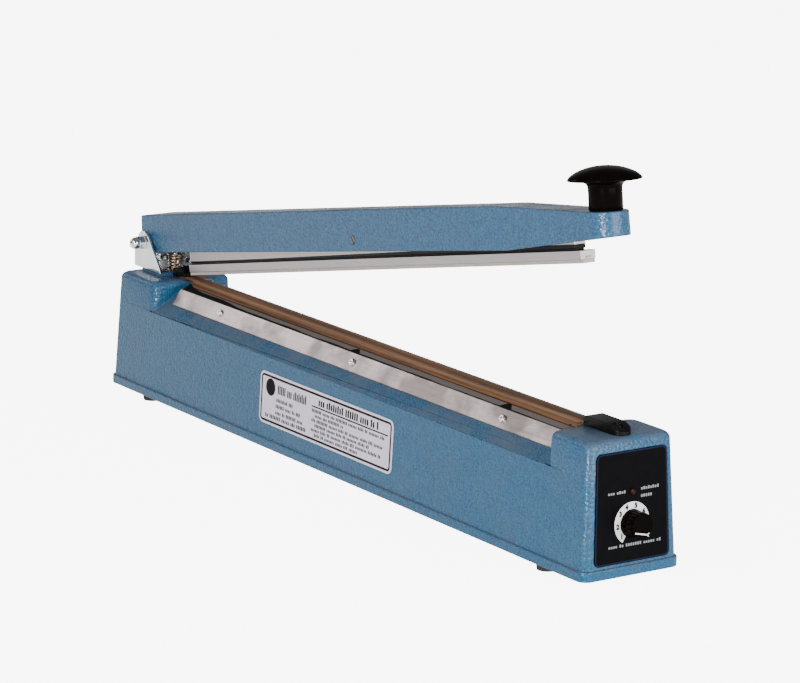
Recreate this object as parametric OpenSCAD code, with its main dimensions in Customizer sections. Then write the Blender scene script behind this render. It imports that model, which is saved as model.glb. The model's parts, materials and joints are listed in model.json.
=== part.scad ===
// Hand impulse sealer: a long casing with a heated ridge and a hinged arm that presses a bar on it.
// X runs from the hinge end to the control plate, Y across, Z up. The origin is on the floor under the middle.

/* [Casing] */
// Length of the casing at its skirt
casing_l = 640; // [620:1:680]
// Width of the casing at its skirt
casing_w = 82; // [80:0.5:90]
// Height from the skirt's lower edge to the flat top of the blocks
casing_h = 92.3; // [91:0.1:95]
// Wall thickness of the casting
wall_t = 3.2; // [2.8:0.1:3.6]
// Height of the skirt
skirt_h = 7.2; // [6:0.1:9]
// How far the skirt stands proud of the walls
skirt_proud = 1.9; // [1.4:0.1:2.4]
// Lean of the walls, as a share of their height
draft_share = 0.049; // [0.04:0.001:0.055]
// Radius of the upright corners
corner_r = 6; // [5:0.5:7]
// Radius of the top edges
top_r = 4.5; // [3:0.5:5]
// Length of the rear block
rear_block_l = 63.8; // [63:0.1:66]
// Length of the front block
front_block_l = 49.9; // [49:0.1:54]
// Height of the side walls between the blocks
sill_h = 68.8; // [66:0.1:71]
// Width of the flat shelf between the blocks
shelf_w = 19; // [17:0.5:21]
// Height of the flat shelf between the blocks
shelf_h = 85.6; // [84:0.1:86.5]
// Height of the raised pad under the hinge bracket
pad_h = 2.7; // [2:0.1:3.5]
// Thickness of the sheet floor
floor_t = 1.2; // [1:0.1:1.6]
// Height of the rubber feet
foot_h = 5; // [4:0.5:7]
// Radius of the rubber feet
foot_r = 7.5; // [6.5:0.5:8]

/* [Heater] */
// Width of the heater bed at its foot
bed_w = 50; // [48:0.5:52]
// Height of the bed's crown above the skirt's lower edge
bed_top_h = 93.4; // [93:0.1:94]
// Slope of the bed's steep flanks in degrees
flank_deg = 56; // [54:1:58]
// Width of the flanks, measured along their slope
flank_l = 14.2; // [13:0.1:15]
// Width of the rounded crown
crown_w = 23; // [21:0.5:25]
// How much the crown falls from its middle to its edges
crown_sag = 3.1; // [2.6:0.1:3.4]
// Thickness of the non-stick cover sheet
sheet_t = 0.4; // [0.3:0.05:0.6]
// Width of the heating ribbon
ribbon_w = 5; // [3:0.5:6]
// Thickness of the heating ribbon
ribbon_t = 0.3; // [0.2:0.05:0.4]
// Thickness of the clamp strips
strip_t = 1.2; // [1:0.1:1.5]
// Distance between the screws along a clamp strip
strip_pitch = 188; // [180:1:195]

/* [Terminal covers] */
// Width of the terminal covers
cover_w = 14.6; // [13:0.1:15]
// Height of the terminal covers
cover_h = 6.7; // [6.4:0.1:7.2]
// Length of the front terminal cover
front_cover_l = 37.5; // [36:0.5:38]
// Length of the rear terminal cover
rear_cover_l = 18.5; // [18:0.1:19]

/* [Hinge] */
// Distance of the pivot from the casing's rear end
pivot_inset = 19; // [18.5:0.1:19.5]
// Height of the pivot above the flat top of the blocks
pivot_rise = 23.7; // [23:0.1:25]
// Thickness of the bracket's sheet
bracket_t = 2; // [1.8:0.1:2.4]
// Gap between the bracket's ears
ear_gap = 36; // [35:0.5:38]
// Radius of the pivot bolt
bolt_r = 3; // [2.8:0.1:3.2]
// Angle that the arm closes through, in degrees
arm_travel = 10; // [8:0.5:11]
// Slope of the closed arm, in degrees
arm_closed = 0.3; // [0:0.1:0.5]

/* [Arm] */
// Width of the arm
arm_w = 30; // [29:0.5:31]
// Height of the arm
arm_h = 30.4; // [30:0.1:32]
// Wall thickness of the arm
arm_t = 3; // [2.6:0.1:3.4]
// Height of the arm's top above its pivot
arm_top = 21.5; // [21:0.1:22.5]
// Distance from the pivot to the knob's axis
knob_x = 592.7; // [580:0.1:600]
// Length of the tapered nose in front of the straight top, up to the knob's axis
nose_l = 106.6; // [100:0.1:112]
// Fall of the nose's top, in degrees
nose_top_deg = 3.04; // [2.6:0.02:3.4]
// Rise of the nose's underside, in degrees
nose_low_deg = 4; // [3:0.1:4.6]
// Radius of the hand knob's cap
knob_r = 24.75; // [22:0.25:27]
// Radius of the hand knob's stem
stem_r = 11.4; // [10:0.1:12.5]
// Height of the hand knob's stem
stem_h = 19; // [17:0.5:22]
// Height of the hand knob's cap
cap_h = 10.6; // [9:0.1:12]

/* [Pressure bar] */
// Width of the bar's flange
bar_w = 12; // [11:0.5:13]
// Length of the bar behind its pin
bar_rear_l = 259.3; // [255:0.1:259.5]
// Length of the bar in front of its pin
bar_front_l = 264.1; // [260:0.1:264.5]
// Distance from the pivot to the bar's pin with the arm closed
pin_x = 305.1; // [303:0.1:306]
// Height of the bar's pin above the bar's working face
pin_rise = 22.8; // [22.4:0.1:23.2]
// Angle that the bar rocks through while the arm closes, in degrees
bar_rock = 1.35; // [1:0.05:1.5]
// Gap between the closed bar and the cover sheet
close_gap = 0.4; // [0.35:0.05:0.6]

/* [Control plate] */
// Height of the control plate, along the leaning front
panel_h = 75.5; // [70:0.5:77]
// Width of the control plate at its top
panel_top_w = 58; // [56:0.5:59]
// Width of the control plate at its bottom
panel_low_w = 62; // [60:0.5:63]
// Height of the plate's lower edge above the skirt's lower edge
panel_low_h = 9; // [8.5:0.1:11]
// Height of the timer knob's axis above the skirt's lower edge
dial_h = 35.1; // [33:0.1:38]
// Radius of the timer knob
dial_knob_r = 9.3; // [8.5:0.1:10]
// How far the timer knob stands out of the casing's front
dial_knob_out = 13.2; // [12:0.1:15]
// Height of the lamp above the skirt's lower edge
lamp_h = 56.5; // [54:0.5:60]
// Radius of the lamp's lens
lamp_r = 2.3; // [2:0.1:3]

/* [Hidden] */

casing_blue = [0.36, 0.52, 0.63];
plated = [0.80, 0.80, 0.82];
steel = [0.72, 0.71, 0.72];
black = [0.05, 0.05, 0.06];
brass = [0.78, 0.62, 0.32];
round_fn = 64;
hull_fn = 32;

// Overrun of every cut, and the thin slices that the hulls span
cut = 1;
skin = 0.01;
// Clearance between fixed pieces, between moving pieces, and of a shaft in its bearing
seat_gap = 0.05;
move_gap = 0.3;
run_gap = 0.05;
// Clearance of a screw's shank in its hole
screw_gap = 0.1;

// Screw sizes: shank radius, head radius and head height
m4_r = 2;
m4_head_r = 3.6;
m4_head_h = 2.4;
m3_r = 1.5;
m3_head_r = 2.9;
m3_head_h = 1.9;
bite_l = 4;

draft_deg = atan(draft_share);
function wall_x(h) = casing_l / 2 - skirt_proud - draft_share * (h - skirt_h);
function wall_y(h) = casing_w / 2 - skirt_proud - draft_share * (h - skirt_h);
x_rear = -casing_l / 2 + rear_block_l;
x_front = casing_l / 2 - front_block_l;
shoulder_slope = (shelf_h - sill_h) / (wall_y(sill_h) - shelf_w / 2);
function shoulder_h(y) = shelf_h - (abs(y) - shelf_w / 2) * shoulder_slope;

// The timer knob reaches past the skirt, so the frame's middle lies between its face and the rear end
knob_face_r = dial_knob_r * 0.92;
knob_reach = wall_x(dial_h) + dial_knob_out * cos(draft_deg) + knob_face_r * sin(draft_deg);
frame_x = -(knob_reach - casing_l / 2) / 2;
module framed() translate([frame_x, 0, foot_h]) children();

module ring(x_lo, x_hi, y_half, r, h, tall = skin)
    for (x = [x_lo + r, x_hi - r], y = [-1, 1])
        translate([x, y * (y_half - r), h]) cylinder(r = r, h = tall, $fn = hull_fn);

// Frames on the leaning front, rear and near side, with local X or -Y pointing outward
module on_front(h) translate([wall_x(h), 0, h]) rotate([0, -draft_deg, 0]) children();
module on_rear(h) mirror([1, 0, 0]) on_front(h) children();
module on_side(x, h) translate([x, -wall_y(h), h]) rotate([-draft_deg, 0, 0]) children();
module along_x(x_lo, x_hi)
    translate([x_lo, 0, 0]) rotate([90, 0, 90]) linear_extrude(x_hi - x_lo) children();
module along_y(y_lo, y_hi)
    translate([0, y_hi, 0]) rotate([90, 0, 0]) linear_extrude(y_hi - y_lo) children();
module peg_x(r, x_lo, x_hi)
    translate([x_lo, 0, 0]) rotate([0, 90, 0]) cylinder(r = r, h = x_hi - x_lo, $fn = round_fn);
module peg_y(r, y_lo, y_hi)
    translate([0, y_hi, 0]) rotate([90, 0, 0]) cylinder(r = r, h = y_hi - y_lo, $fn = round_fn);
module peg_z(r, z_lo, z_hi) translate([0, 0, z_lo]) cylinder(r = r, h = z_hi - z_lo, $fn = round_fn);
module box(x_lo, x_hi, y_lo, y_hi, z_lo, z_hi)
    translate([x_lo, y_lo, z_lo]) cube([x_hi - x_lo, y_hi - y_lo, z_hi - z_lo]);

// A pan head screw standing on z = 0 with its shank below, and a cross recess in its head
module pan_screw(shank_r, shank_l, head_r, head_h) {
    slot_w = head_r / 4;
    slot_l = head_r * 1.1;
    difference() {
        union() {
            peg_z(head_r, 0, head_h * 0.6);
            translate([0, 0, head_h * 0.6])
                cylinder(r1 = head_r, r2 = head_r * 0.7, h = head_h * 0.4, $fn = round_fn);
        }
        for (a = [0, 90]) rotate(a)
            box(-slot_l / 2, slot_l / 2, -slot_w / 2, slot_w / 2, head_h * 0.4, head_h + cut);
    }
    peg_z(shank_r, -shank_l, skin);
}

// Casing: two blocks joined by a trough with sloping shoulders and a shelf
block_low_h = skirt_h - cut;
fillet_steps = [0:22.5:90];
inner_top_r = 2;
inner_corner_r = 3;
shelf_under = shelf_h - wall_t / cos(atan(shoulder_slope));

module block_form(block_l, inset, r, edge_r, low)
    hull() {
        ring(casing_l / 2 - block_l + inset, wall_x(low) - inset, wall_y(low) - inset, r, low);
        for (a = fillet_steps) {
            h = casing_h - inset - skin - edge_r * (1 - sin(a));
            in = inset + edge_r * (1 - cos(a));
            ring(casing_l / 2 - block_l + in, wall_x(h) - in, wall_y(h) - in, r, h);
        }
    }

module trough_form(inset, r, low)
    hull() for (h = [low, sill_h - inset - skin])
        ring(-wall_x(h) + inset, wall_x(h) - inset, wall_y(h) - inset, r, h);

module shelf_profile(drop, out_y) {
    edge_h = shoulder_h(out_y) - drop;
    polygon([[-out_y, edge_h], [-shelf_w / 2, shelf_h - drop], [shelf_w / 2, shelf_h - drop],
        [out_y, edge_h], [out_y - wall_t, edge_h - wall_t], [wall_t - out_y, edge_h - wall_t]]);
}

module casing_outer() {
    hull() {
        edge = skirt_proud / 3;
        half_l = casing_l / 2;
        half_w = casing_w / 2;
        ring(-half_l, half_l, half_w, corner_r + skirt_proud, 0, skirt_h - edge);
        ring(-half_l + edge, half_l - edge, half_w - edge, corner_r + skirt_proud - edge, skirt_h - skin);
    }
    trough_form(0, corner_r, block_low_h);
    mirror([1, 0, 0]) block_form(rear_block_l, 0, corner_r, top_r, block_low_h);
    block_form(front_block_l, 0, corner_r, top_r, block_low_h);
    along_x(x_rear - rear_block_l / 2, x_front + front_block_l / 2) shelf_profile(0, wall_y(sill_h));
}

module casing_inner() {
    trough_form(wall_t, inner_corner_r, -cut);
    mirror([1, 0, 0]) block_form(rear_block_l, wall_t, inner_corner_r, inner_top_r, -cut);
    block_form(front_block_l, wall_t, inner_corner_r, inner_top_r, -cut);
    along_x(x_rear - rear_block_l / 2, x_front + front_block_l / 2)
        shelf_profile(shelf_h - shelf_under, wall_y(sill_h) - wall_t);
}

// Screw posts for the floor: four near the corners and two in the middle
post_r = 4;
post_h = 24;
post_end_in = 24;
pilot_r = 1.7;
floor_in = wall_t + move_gap;
post_x = casing_l / 2 - post_end_in;
post_y = wall_y(0) - floor_in - m4_head_r;
module at_posts() for (x = [-post_x, 0, post_x], s = [-1, 1]) translate([x, s * post_y, 0]) children();

// The push rod of the switch stands in front of the pivot, in a guide under the rear block's roof
pivot_x = -casing_l / 2 + pivot_inset;
pivot_h = casing_h + pivot_rise;
arm_open = arm_closed + arm_travel;
rod_x = 16;
rod_r = 2;
rod_at = pivot_x + rod_x;
guide_r = 6;
guide_l = 9;
guide_h = casing_h - wall_t - guide_l;
spring_r = 5.5;
spring_wire_r = 0.8;
spring_side_gap = 0.8;
spring_hole_r = spring_r + spring_side_gap;

// Bracket sizes, measured from the pivot; the arm's heel stops at the bracket's rear web
arm_heel = 11;
heel_top = 6;
ear_r = 9.3;
ear_rear = arm_heel * cos(arm_open) + heel_top * sin(arm_open) + move_gap + bracket_t;
ear_front = 28;
base_front = 24.5;
pad_rear_in = 7;
pad_front_in = 1;
bracket_low = casing_h + pad_h;
bracket_top = bracket_low + bracket_t;
pad_w = ear_gap - bracket_t;
bracket_screw_x = pivot_x - bracket_t;
bracket_screw_y = ear_gap * 0.32;
module at_bracket_screws() for (s = [-1, 1]) translate([bracket_screw_x, s * bracket_screw_y, 0]) children();

// Terminal sizes: a pocket in each block holds an insulator with a brass plate and stud
pocket_h = 1.6;
pocket_l = 11;
pocket_w = 10;
pocket_rim = 1;
brass_t = 0.6;
stud_r = 1.6;
stud_l = 12;
stud_hole_r = 2.6;
front_stud_inset = 10;
rear_stud_inset = 8;
front_stud_x = x_front + front_stud_inset;
rear_stud_x = x_rear - rear_stud_inset;
front_cover_gap = 0.9;
rear_cover_gap = 1.3;
front_cover_x = x_front + front_cover_gap;
rear_cover_x = x_rear - rear_cover_gap - rear_cover_l;
front_well = 8.3;
rear_well = 3.3;
front_cover_screw_x = front_cover_x + front_cover_l - front_well;
rear_cover_screw_x = rear_cover_x + rear_well;
cover_screw_r = 1.3;
cover_head_r = 2.5;
cover_head_h = 1.7;

// Switch under the rear block, screwed to a lug beside the rod's guide
switch_l = 27.8;
switch_w = 10.3;
switch_h = 15.9;
switch_top = 66;
switch_rear = 14;
switch_x = rod_at - switch_rear;
lug_t = 4;
lug_y = switch_w / 2 + seat_gap;
lug_rim = 2;
switch_screw_pitch = 17.5;
switch_screw_in = 5;
switch_screw_low = 11;
module at_switch_screws() for (i = [0, 1])
    translate([switch_x + switch_screw_in + i * switch_screw_pitch, 0, switch_top - switch_screw_low]) children();

// Holes in the front and rear walls
bush_r = 3.5;
gland_h = 26;
gland_r = 7;

// Bed sizes
bed_rear_gap = 13.2;
bed_front_gap = 1.1;
bed_start = x_rear + bed_rear_gap;
bed_end = x_front - bed_front_gap;
bed_mid = (bed_start + bed_end) / 2;
bed_foot_h = shoulder_h(bed_w / 2);
bed_screw_in = 40;
bed_screw_x = [bed_start + bed_screw_in, bed_mid, bed_end - bed_screw_in];
tap_l = 9;
module at_flank(side)
    mirror([0, side > 0 ? 1 : 0, 0]) translate([0, -bed_w / 2, bed_foot_h]) rotate([flank_deg, 0, 0])
        translate([0, flank_l / 2, 0]) children();
module at_strip_screws()
    for (side = [-1, 1], i = [-1:1]) at_flank(side) translate([bed_mid + i * strip_pitch, 0, 0]) children();
module strip_screw_holes() at_strip_screws() peg_z(m3_r + screw_gap, -tap_l, bite_l);

module base_casing() framed() color(casing_blue) difference() {
    union() {
        difference() {
            casing_outer();
            casing_inner();
        }
        box(pivot_x - ear_rear + pad_rear_in, pivot_x + base_front - pad_front_in,
            -pad_w / 2, pad_w / 2, casing_h - wall_t / 2, bracket_low);
        at_posts() peg_z(post_r, floor_t + seat_gap, post_h);
        translate([rod_at, 0, 0]) peg_z(guide_r, guide_h, casing_h - wall_t / 2);
        box(switch_x, switch_x + switch_l, lug_y, lug_y + lug_t,
            switch_top - switch_h + lug_rim, casing_h - wall_t / 2);
    }
    at_posts() peg_z(pilot_r, -cut, post_h * 0.9);
    translate([rod_at, 0, 0]) {
        peg_z(rod_r + run_gap, guide_h - cut, casing_h + cut);
        peg_z(spring_hole_r, casing_h, bracket_low + cut);
    }
    at_bracket_screws() peg_z(m4_r + screw_gap, casing_h - wall_t - cut, bracket_low + cut);
    for (x = [front_stud_x, rear_stud_x]) translate([x, 0, 0]) {
        box(-pocket_l / 2, pocket_l / 2, -pocket_w / 2, pocket_w / 2, casing_h - pocket_h, casing_h + cut);
        peg_z(stud_hole_r, casing_h - wall_t - cut, casing_h);
    }
    for (x = [front_cover_screw_x, rear_cover_screw_x]) translate([x, 0, 0])
        peg_z(cover_screw_r + screw_gap, casing_h - wall_t - cut, casing_h + cut);
    for (x = bed_screw_x) translate([x, 0, 0]) peg_z(m4_r + screw_gap, shelf_under - cut, shelf_h + cut);
    strip_screw_holes();
    at_switch_screws() peg_y(m3_r + screw_gap, lug_y - cut, lug_y + lug_t + cut);
    on_front(dial_h) peg_x(bush_r + screw_gap, -2 * wall_t, cut);
    on_front(lamp_h) peg_x(lamp_r + screw_gap, -2 * wall_t, cut);
    on_rear(gland_h) peg_x(gland_r + screw_gap, -2 * wall_t, cut);
}

// Floor, feet and their screws
foot_end_in = 53;
foot_side_in = 10;
foot_x = casing_l / 2 - foot_end_in;
foot_y = casing_w / 2 - foot_side_in;
foot_recess = foot_h * 0.52;
module at_feet() for (x = [-foot_x, foot_x], s = [-1, 1]) translate([x, s * foot_y, 0]) children();

module base_plate() framed() color(steel) difference() {
    half_l = wall_x(0) - floor_in;
    half_w = wall_y(0) - floor_in;
    box(-half_l, half_l, -half_w, half_w, 0, floor_t);
    at_posts() peg_z(pilot_r + screw_gap, -cut, floor_t + cut);
    at_feet() peg_z(m4_r + screw_gap, -cut, floor_t + cut);
}

module base_screws() framed() color(plated)
    at_posts() mirror([0, 0, 1]) pan_screw(pilot_r - screw_gap, post_h / 2, m4_head_r, m4_head_h);

module rubber_feet() framed() color(black) at_feet() difference() {
    translate([0, 0, -foot_h]) cylinder(r1 = foot_r * 0.92, r2 = foot_r, h = foot_h, $fn = round_fn);
    peg_z(m4_r + screw_gap, -foot_h - cut, cut);
    peg_z(m4_head_r + screw_gap, -foot_h - cut, -foot_h + foot_recess);
}

module foot_screws() framed() color(plated) at_feet()
    translate([0, 0, foot_recess - foot_h]) mirror([0, 0, 1])
        pan_screw(m4_r, foot_h - foot_recess + floor_t + bite_l, m4_head_r, foot_recess * 0.9);

// Heater bed: a rail with steep flanks and a rounded crown, seated on the shoulders
flank_top = [bed_w / 2 - flank_l * cos(flank_deg), bed_foot_h + flank_l * sin(flank_deg)];
crown_edge = [crown_w / 2, bed_top_h - crown_sag];
crown_r = pow(crown_w / 2, 2) / (2 * crown_sag) + crown_sag / 2;
crown_deg = asin(crown_w / 2 / crown_r);
cheek_deg = atan((crown_edge[1] - flank_top[1]) / (flank_top[0] - crown_edge[0]));
groove_h = ribbon_t + 5 * seat_gap;
ribbon_low = bed_top_h - groove_h + seat_gap;

function tilt(d) = [sin(d), cos(d)];
function flip(points) = [for (i = [len(points) - 1:-1:0]) [-points[i][0], points[i][1]]];
function back(points) = [for (i = [len(points) - 1:-1:0]) points[i]];
// The bed's upper outline between two hem points on the flanks, moved out by off
function edge_points(hem, off) = [
    [bed_w / 2 - hem * cos(flank_deg), bed_foot_h + hem * sin(flank_deg)] + off * tilt(flank_deg),
    flank_top + off * tilt((flank_deg + cheek_deg) / 2)];
crown_steps = 12;
function outline(hem, off) = concat(edge_points(hem, off),
    [for (i = [0:crown_steps]) let (d = crown_deg * (1 - 2 * i / crown_steps))
        [(crown_r + off) * sin(d), bed_top_h - crown_r + (crown_r + off) * cos(d)]],
    flip(edge_points(hem, off)));

module heater_bed() framed() color([0.55, 0.50, 0.42]) difference() {
    along_x(bed_start, bed_end) polygon(concat(outline(0, 0),
        [[-shelf_w / 2, shelf_h + seat_gap], [shelf_w / 2, shelf_h + seat_gap]]));
    box(bed_start - cut, bed_end + cut, -ribbon_w / 2 - seat_gap, ribbon_w / 2 + seat_gap,
        bed_top_h - groove_h, bed_top_h + cut);
    for (x = bed_screw_x) translate([x, 0, 0]) peg_z(m4_r + screw_gap, shelf_h - cut, shelf_h + bite_l + seat_gap);
    strip_screw_holes();
}

module bed_screws() framed() color(plated) for (x = bed_screw_x)
    translate([x, 0, shelf_under]) mirror([0, 0, 1])
        pan_screw(m4_r, shelf_h - shelf_under + bite_l, m4_head_r, m4_head_h);

module heating_ribbon() framed() color([0.6, 0.6, 0.6])
    box(rear_stud_x - pocket_l / 2 + pocket_rim, front_stud_x + pocket_l / 2 - pocket_rim,
        -ribbon_w / 2, ribbon_w / 2, ribbon_low, ribbon_low + ribbon_t);

// The sheet follows the bed, runs on over both blocks as a flat tongue, and its hems lie under the strips
sheet_hem = flank_l * 0.42;
tongue_w = 20;
front_tongue_w = 40;
tongue_tuck = 4;
tuck_w = cover_w * 0.72;
tongue_low = bed_top_h + seat_gap;
tongue_top = tongue_low + sheet_t;
module cover_sheet() framed() color([0.50, 0.33, 0.22]) {
    difference() {
        along_x(bed_start, bed_end)
            polygon(concat(outline(sheet_hem, seat_gap + sheet_t), back(outline(sheet_hem, seat_gap))));
        strip_screw_holes();
    }
    box(rear_cover_x + rear_cover_l - tongue_tuck, bed_start + skin, -tongue_w / 2, tongue_w / 2,
        tongue_low, tongue_top);
    translate([0, 0, tongue_low]) linear_extrude(sheet_t) polygon([
        [bed_end - skin, -crown_w / 3], [front_cover_x - seat_gap, -front_tongue_w / 2],
        [front_cover_x + cover_t / 2, -tuck_w / 2], [front_cover_x + tongue_tuck, -tuck_w / 2],
        [front_cover_x + tongue_tuck, tuck_w / 2], [front_cover_x + cover_t / 2, tuck_w / 2],
        [front_cover_x - seat_gap, front_tongue_w / 2], [bed_end - skin, crown_w / 3]]);
}

// Clamp strips on the flanks, over the sheet's hems, and their screws
strip_off = sheet_t + 2 * seat_gap;
module clamp_strip(side) difference() {
    at_flank(side) box(bed_start, bed_end, -flank_l / 2 + move_gap, flank_l / 2 - seat_gap,
        strip_off, strip_off + strip_t);
    strip_screw_holes();
}
module near_clamp_strip() framed() color(steel) clamp_strip(-1);
module far_clamp_strip() framed() color(steel) clamp_strip(1);
module strip_screws() framed() color(plated) at_strip_screws()
    translate([0, 0, strip_off + strip_t]) pan_screw(m3_r, tap_l * 0.9, m3_head_r, m3_head_h);

// Terminals at the ribbon's ends, and the plastic covers over them
collar_l = 1.5;
stud_nut_h = 2.5;
stud_nut_r = 3.2;
module terminal_insulators() framed() color([0.35, 0.20, 0.12])
    for (x = [front_stud_x, rear_stud_x]) translate([x, 0, 0]) difference() {
        union() {
            box(seat_gap - pocket_l / 2, pocket_l / 2 - seat_gap, seat_gap - pocket_w / 2, pocket_w / 2 - seat_gap,
                casing_h - pocket_h + seat_gap, casing_h - seat_gap);
            peg_z(stud_hole_r - seat_gap, casing_h - wall_t - collar_l, casing_h - pocket_h + 2 * seat_gap);
        }
        peg_z(stud_r + screw_gap, 0, casing_h);
    }

module terminals() framed() color(brass)
    for (x = [front_stud_x, rear_stud_x]) translate([x, 0, 0]) {
        box(pocket_rim - pocket_l / 2, pocket_l / 2 - pocket_rim, pocket_rim - pocket_w / 2,
            pocket_w / 2 - pocket_rim, casing_h, ribbon_low - seat_gap);
        peg_z(stud_r, casing_h - wall_t - stud_l, casing_h + skin);
    }

module terminal_nuts() framed() color(brass)
    for (x = [front_stud_x, rear_stud_x])
        translate([x, 0, casing_h - wall_t - collar_l - stud_nut_h - seat_gap]) difference() {
            cylinder(r = stud_nut_r, h = stud_nut_h, $fn = 6);
            peg_z(stud_r + seat_gap, -cut, stud_nut_h + cut);
        }

cover_t = 1.3;
cover_low = casing_h + seat_gap;
slot_h = tongue_top + 3 * seat_gap - cover_low;
well_floor = cover_h / 3;
well_r = cover_head_r + move_gap;
cover_in = cover_w / 2 - cover_t;
module cover_well(x) translate([x, 0, 0]) {
    peg_z(cover_screw_r + screw_gap, -cut, cover_h);
    peg_z(well_r, well_floor, cover_h + cut);
}
module front_terminal_cover() framed() color(black)
    translate([front_cover_x, 0, cover_low]) difference() {
        bevel = cover_h * 0.3;
        ramp_x = front_cover_l * 0.7;
        intersection() {
            along_y(-cover_w, cover_w) polygon([[0, 0], [0, cover_h - bevel], [bevel, cover_h], [ramp_x, cover_h],
                [front_cover_l, well_floor], [front_cover_l, 0]]);
            linear_extrude(cover_h) union() {
                translate([0, -cover_w / 2]) square([front_cover_l - cover_w / 2, cover_w]);
                translate([front_cover_l - cover_w / 2, 0]) circle(r = cover_w / 2, $fn = round_fn);
            }
        }
        box(cover_t, front_cover_l - front_well - well_r - cover_t, -cover_in, cover_in, -cut, cover_h - cover_t);
        box(-cut, cover_t + cut, -cover_in, cover_in, -cut, slot_h);
        cover_well(front_cover_l - front_well);
    }

module rear_terminal_cover() framed() color(black)
    translate([rear_cover_x, 0, cover_low]) difference() {
        bevel = cover_h * 0.15;
        along_y(-cover_w / 2, cover_w / 2) polygon([[0, 0], [0, cover_h - bevel], [bevel, cover_h],
            [rear_cover_l - 2 * bevel, cover_h], [rear_cover_l, cover_h - 2 * bevel], [rear_cover_l, 0]]);
        box(rear_well + well_r + cover_t / 2, rear_cover_l - cover_t, -cover_in, cover_in, -cut, cover_h - cover_t);
        box(rear_cover_l - tongue_tuck - cut, rear_cover_l + cut, -cover_w, cover_w, tongue_low - seat_gap - cover_low, slot_h);
        box(rear_cover_l - cover_t - cut, rear_cover_l + cut, -ribbon_w, ribbon_w, -cut, slot_h);
        cover_well(rear_well);
    }

module cover_screws() framed() color(plated)
    for (x = [front_cover_screw_x, rear_cover_screw_x])
        translate([x, 0, cover_low + well_floor]) pan_screw(cover_screw_r, well_floor + wall_t, cover_head_r, cover_head_h);

// Front plate, side plate, lamp and timer
panel_t = 0.8;
panel_r = 4;
module plate_outline(low_w, top_w, h, r) hull() for (s = [-1, 1]) {
    translate([s * (low_w / 2 - r), r]) circle(r = r, $fn = hull_fn);
    translate([s * (top_w / 2 - r), h - r]) circle(r = r, $fn = hull_fn);
}
module control_plate() framed() color(black) difference() {
    on_front(panel_low_h) along_x(0, panel_t) plate_outline(panel_low_w, panel_top_w, panel_h, panel_r);
    on_front(dial_h) peg_x(bush_r + screw_gap, -cut, panel_t + cut);
    on_front(lamp_h) peg_x(lamp_r + screw_gap, -cut, panel_t + cut);
}

label_l = 180;
label_h = 39.5;
label_low_h = 18.4;
label_t = 0.5;
label_r = 5;
module instruction_plate() framed() color([0.86, 0.84, 0.88])
    on_side(0, label_low_h) along_y(-label_t, 0) plate_outline(label_l, label_l, label_h, label_r);

lamp_collar = 0.8;
lamp_l = 8;
module indicator_lamp() framed() color([0.75, 0.12, 0.08]) on_front(lamp_h) rotate([0, 90, 0])
    rotate_extrude($fn = round_fn) polygon(concat([[0, -lamp_l], [lamp_r, -lamp_l]],
        [[lamp_r, -wall_t - 2 * lamp_collar], [lamp_r + lamp_collar, -wall_t - 2 * lamp_collar],
            [lamp_r + lamp_collar, -wall_t - seat_gap], [lamp_r, -wall_t - seat_gap]],
        [for (i = [0:6]) [lamp_r * cos(15 * i), panel_t * 1.7 + lamp_r / 2 * sin(15 * i)]]));

pot_r = 8.5;
pot_l = 8.5;
pot_floor_t = 2;
board_t = 1.6;
shaft_r = 3;
pot_back = -wall_t - seat_gap - pot_l;
nut_t = 2;
nut_r = 5.8;
thread_out = 1;
bush_out = panel_t + nut_t + thread_out;
module potentiometer() framed() color([0.45, 0.47, 0.45]) on_front(dial_h) difference() {
    union() {
        peg_x(pot_r, pot_back, -wall_t - seat_gap);
        peg_x(bush_r, -wall_t - cut, bush_out);
    }
    peg_x(shaft_r + run_gap, pot_back + pot_floor_t, bush_out + cut);
}
module potentiometer_nut() framed() color(plated) on_front(dial_h) difference() {
    translate([panel_t + seat_gap, 0, 0]) rotate([0, 90, 0]) cylinder(r = nut_r, h = nut_t, $fn = 6);
    peg_x(bush_r + seat_gap, 0, bush_out);
}
knob_cap_t = 3;
module timer_shaft() framed() color(plated) on_front(dial_h)
    peg_x(shaft_r, pot_back + pot_floor_t + seat_gap, dial_knob_out - knob_cap_t);

module timer_knob() framed() color(black) on_front(dial_h) difference() {
    grip_r = dial_knob_r;
    skirt_out = dial_knob_out * 0.3;
    rotate([0, 90, 0]) rotate_extrude($fn = round_fn) polygon([
        [0, panel_t + move_gap], [grip_r, panel_t + move_gap], [grip_r, skirt_out],
        [grip_r * 0.97, skirt_out + grip_r * 0.05], [grip_r * 0.95, dial_knob_out - grip_r * 0.06],
        [knob_face_r, dial_knob_out], [0, dial_knob_out]]);
    peg_x(nut_r + move_gap, 0, bush_out + move_gap);
    peg_x(shaft_r + seat_gap, 0, dial_knob_out - knob_cap_t + seat_gap);
    for (a = [0:20:340]) rotate([a, 0, 0]) translate([0, grip_r * 1.03, 0])
        peg_x(grip_r * 0.12, skirt_out + grip_r * 0.1, dial_knob_out + cut);
}

// Timer board behind the front, carried by the potentiometer's legs
board_w = 56;
board_h = 42;
board_drop = 19;
leg_r = 0.5;
leg_pitch = 4;
leg_low = 5;
module at_legs() for (i = [-1:1]) translate([0, i * leg_pitch, -leg_low]) children();
module timer_board() framed() color([0.10, 0.35, 0.18])
    on_front(dial_h) difference() {
        box(pot_back - seat_gap - board_t, pot_back - seat_gap, -board_w / 2, board_w / 2,
            -board_drop, board_h - board_drop);
        at_legs() peg_x(leg_r, pot_back - board_t - cut, pot_back);
    }

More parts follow.
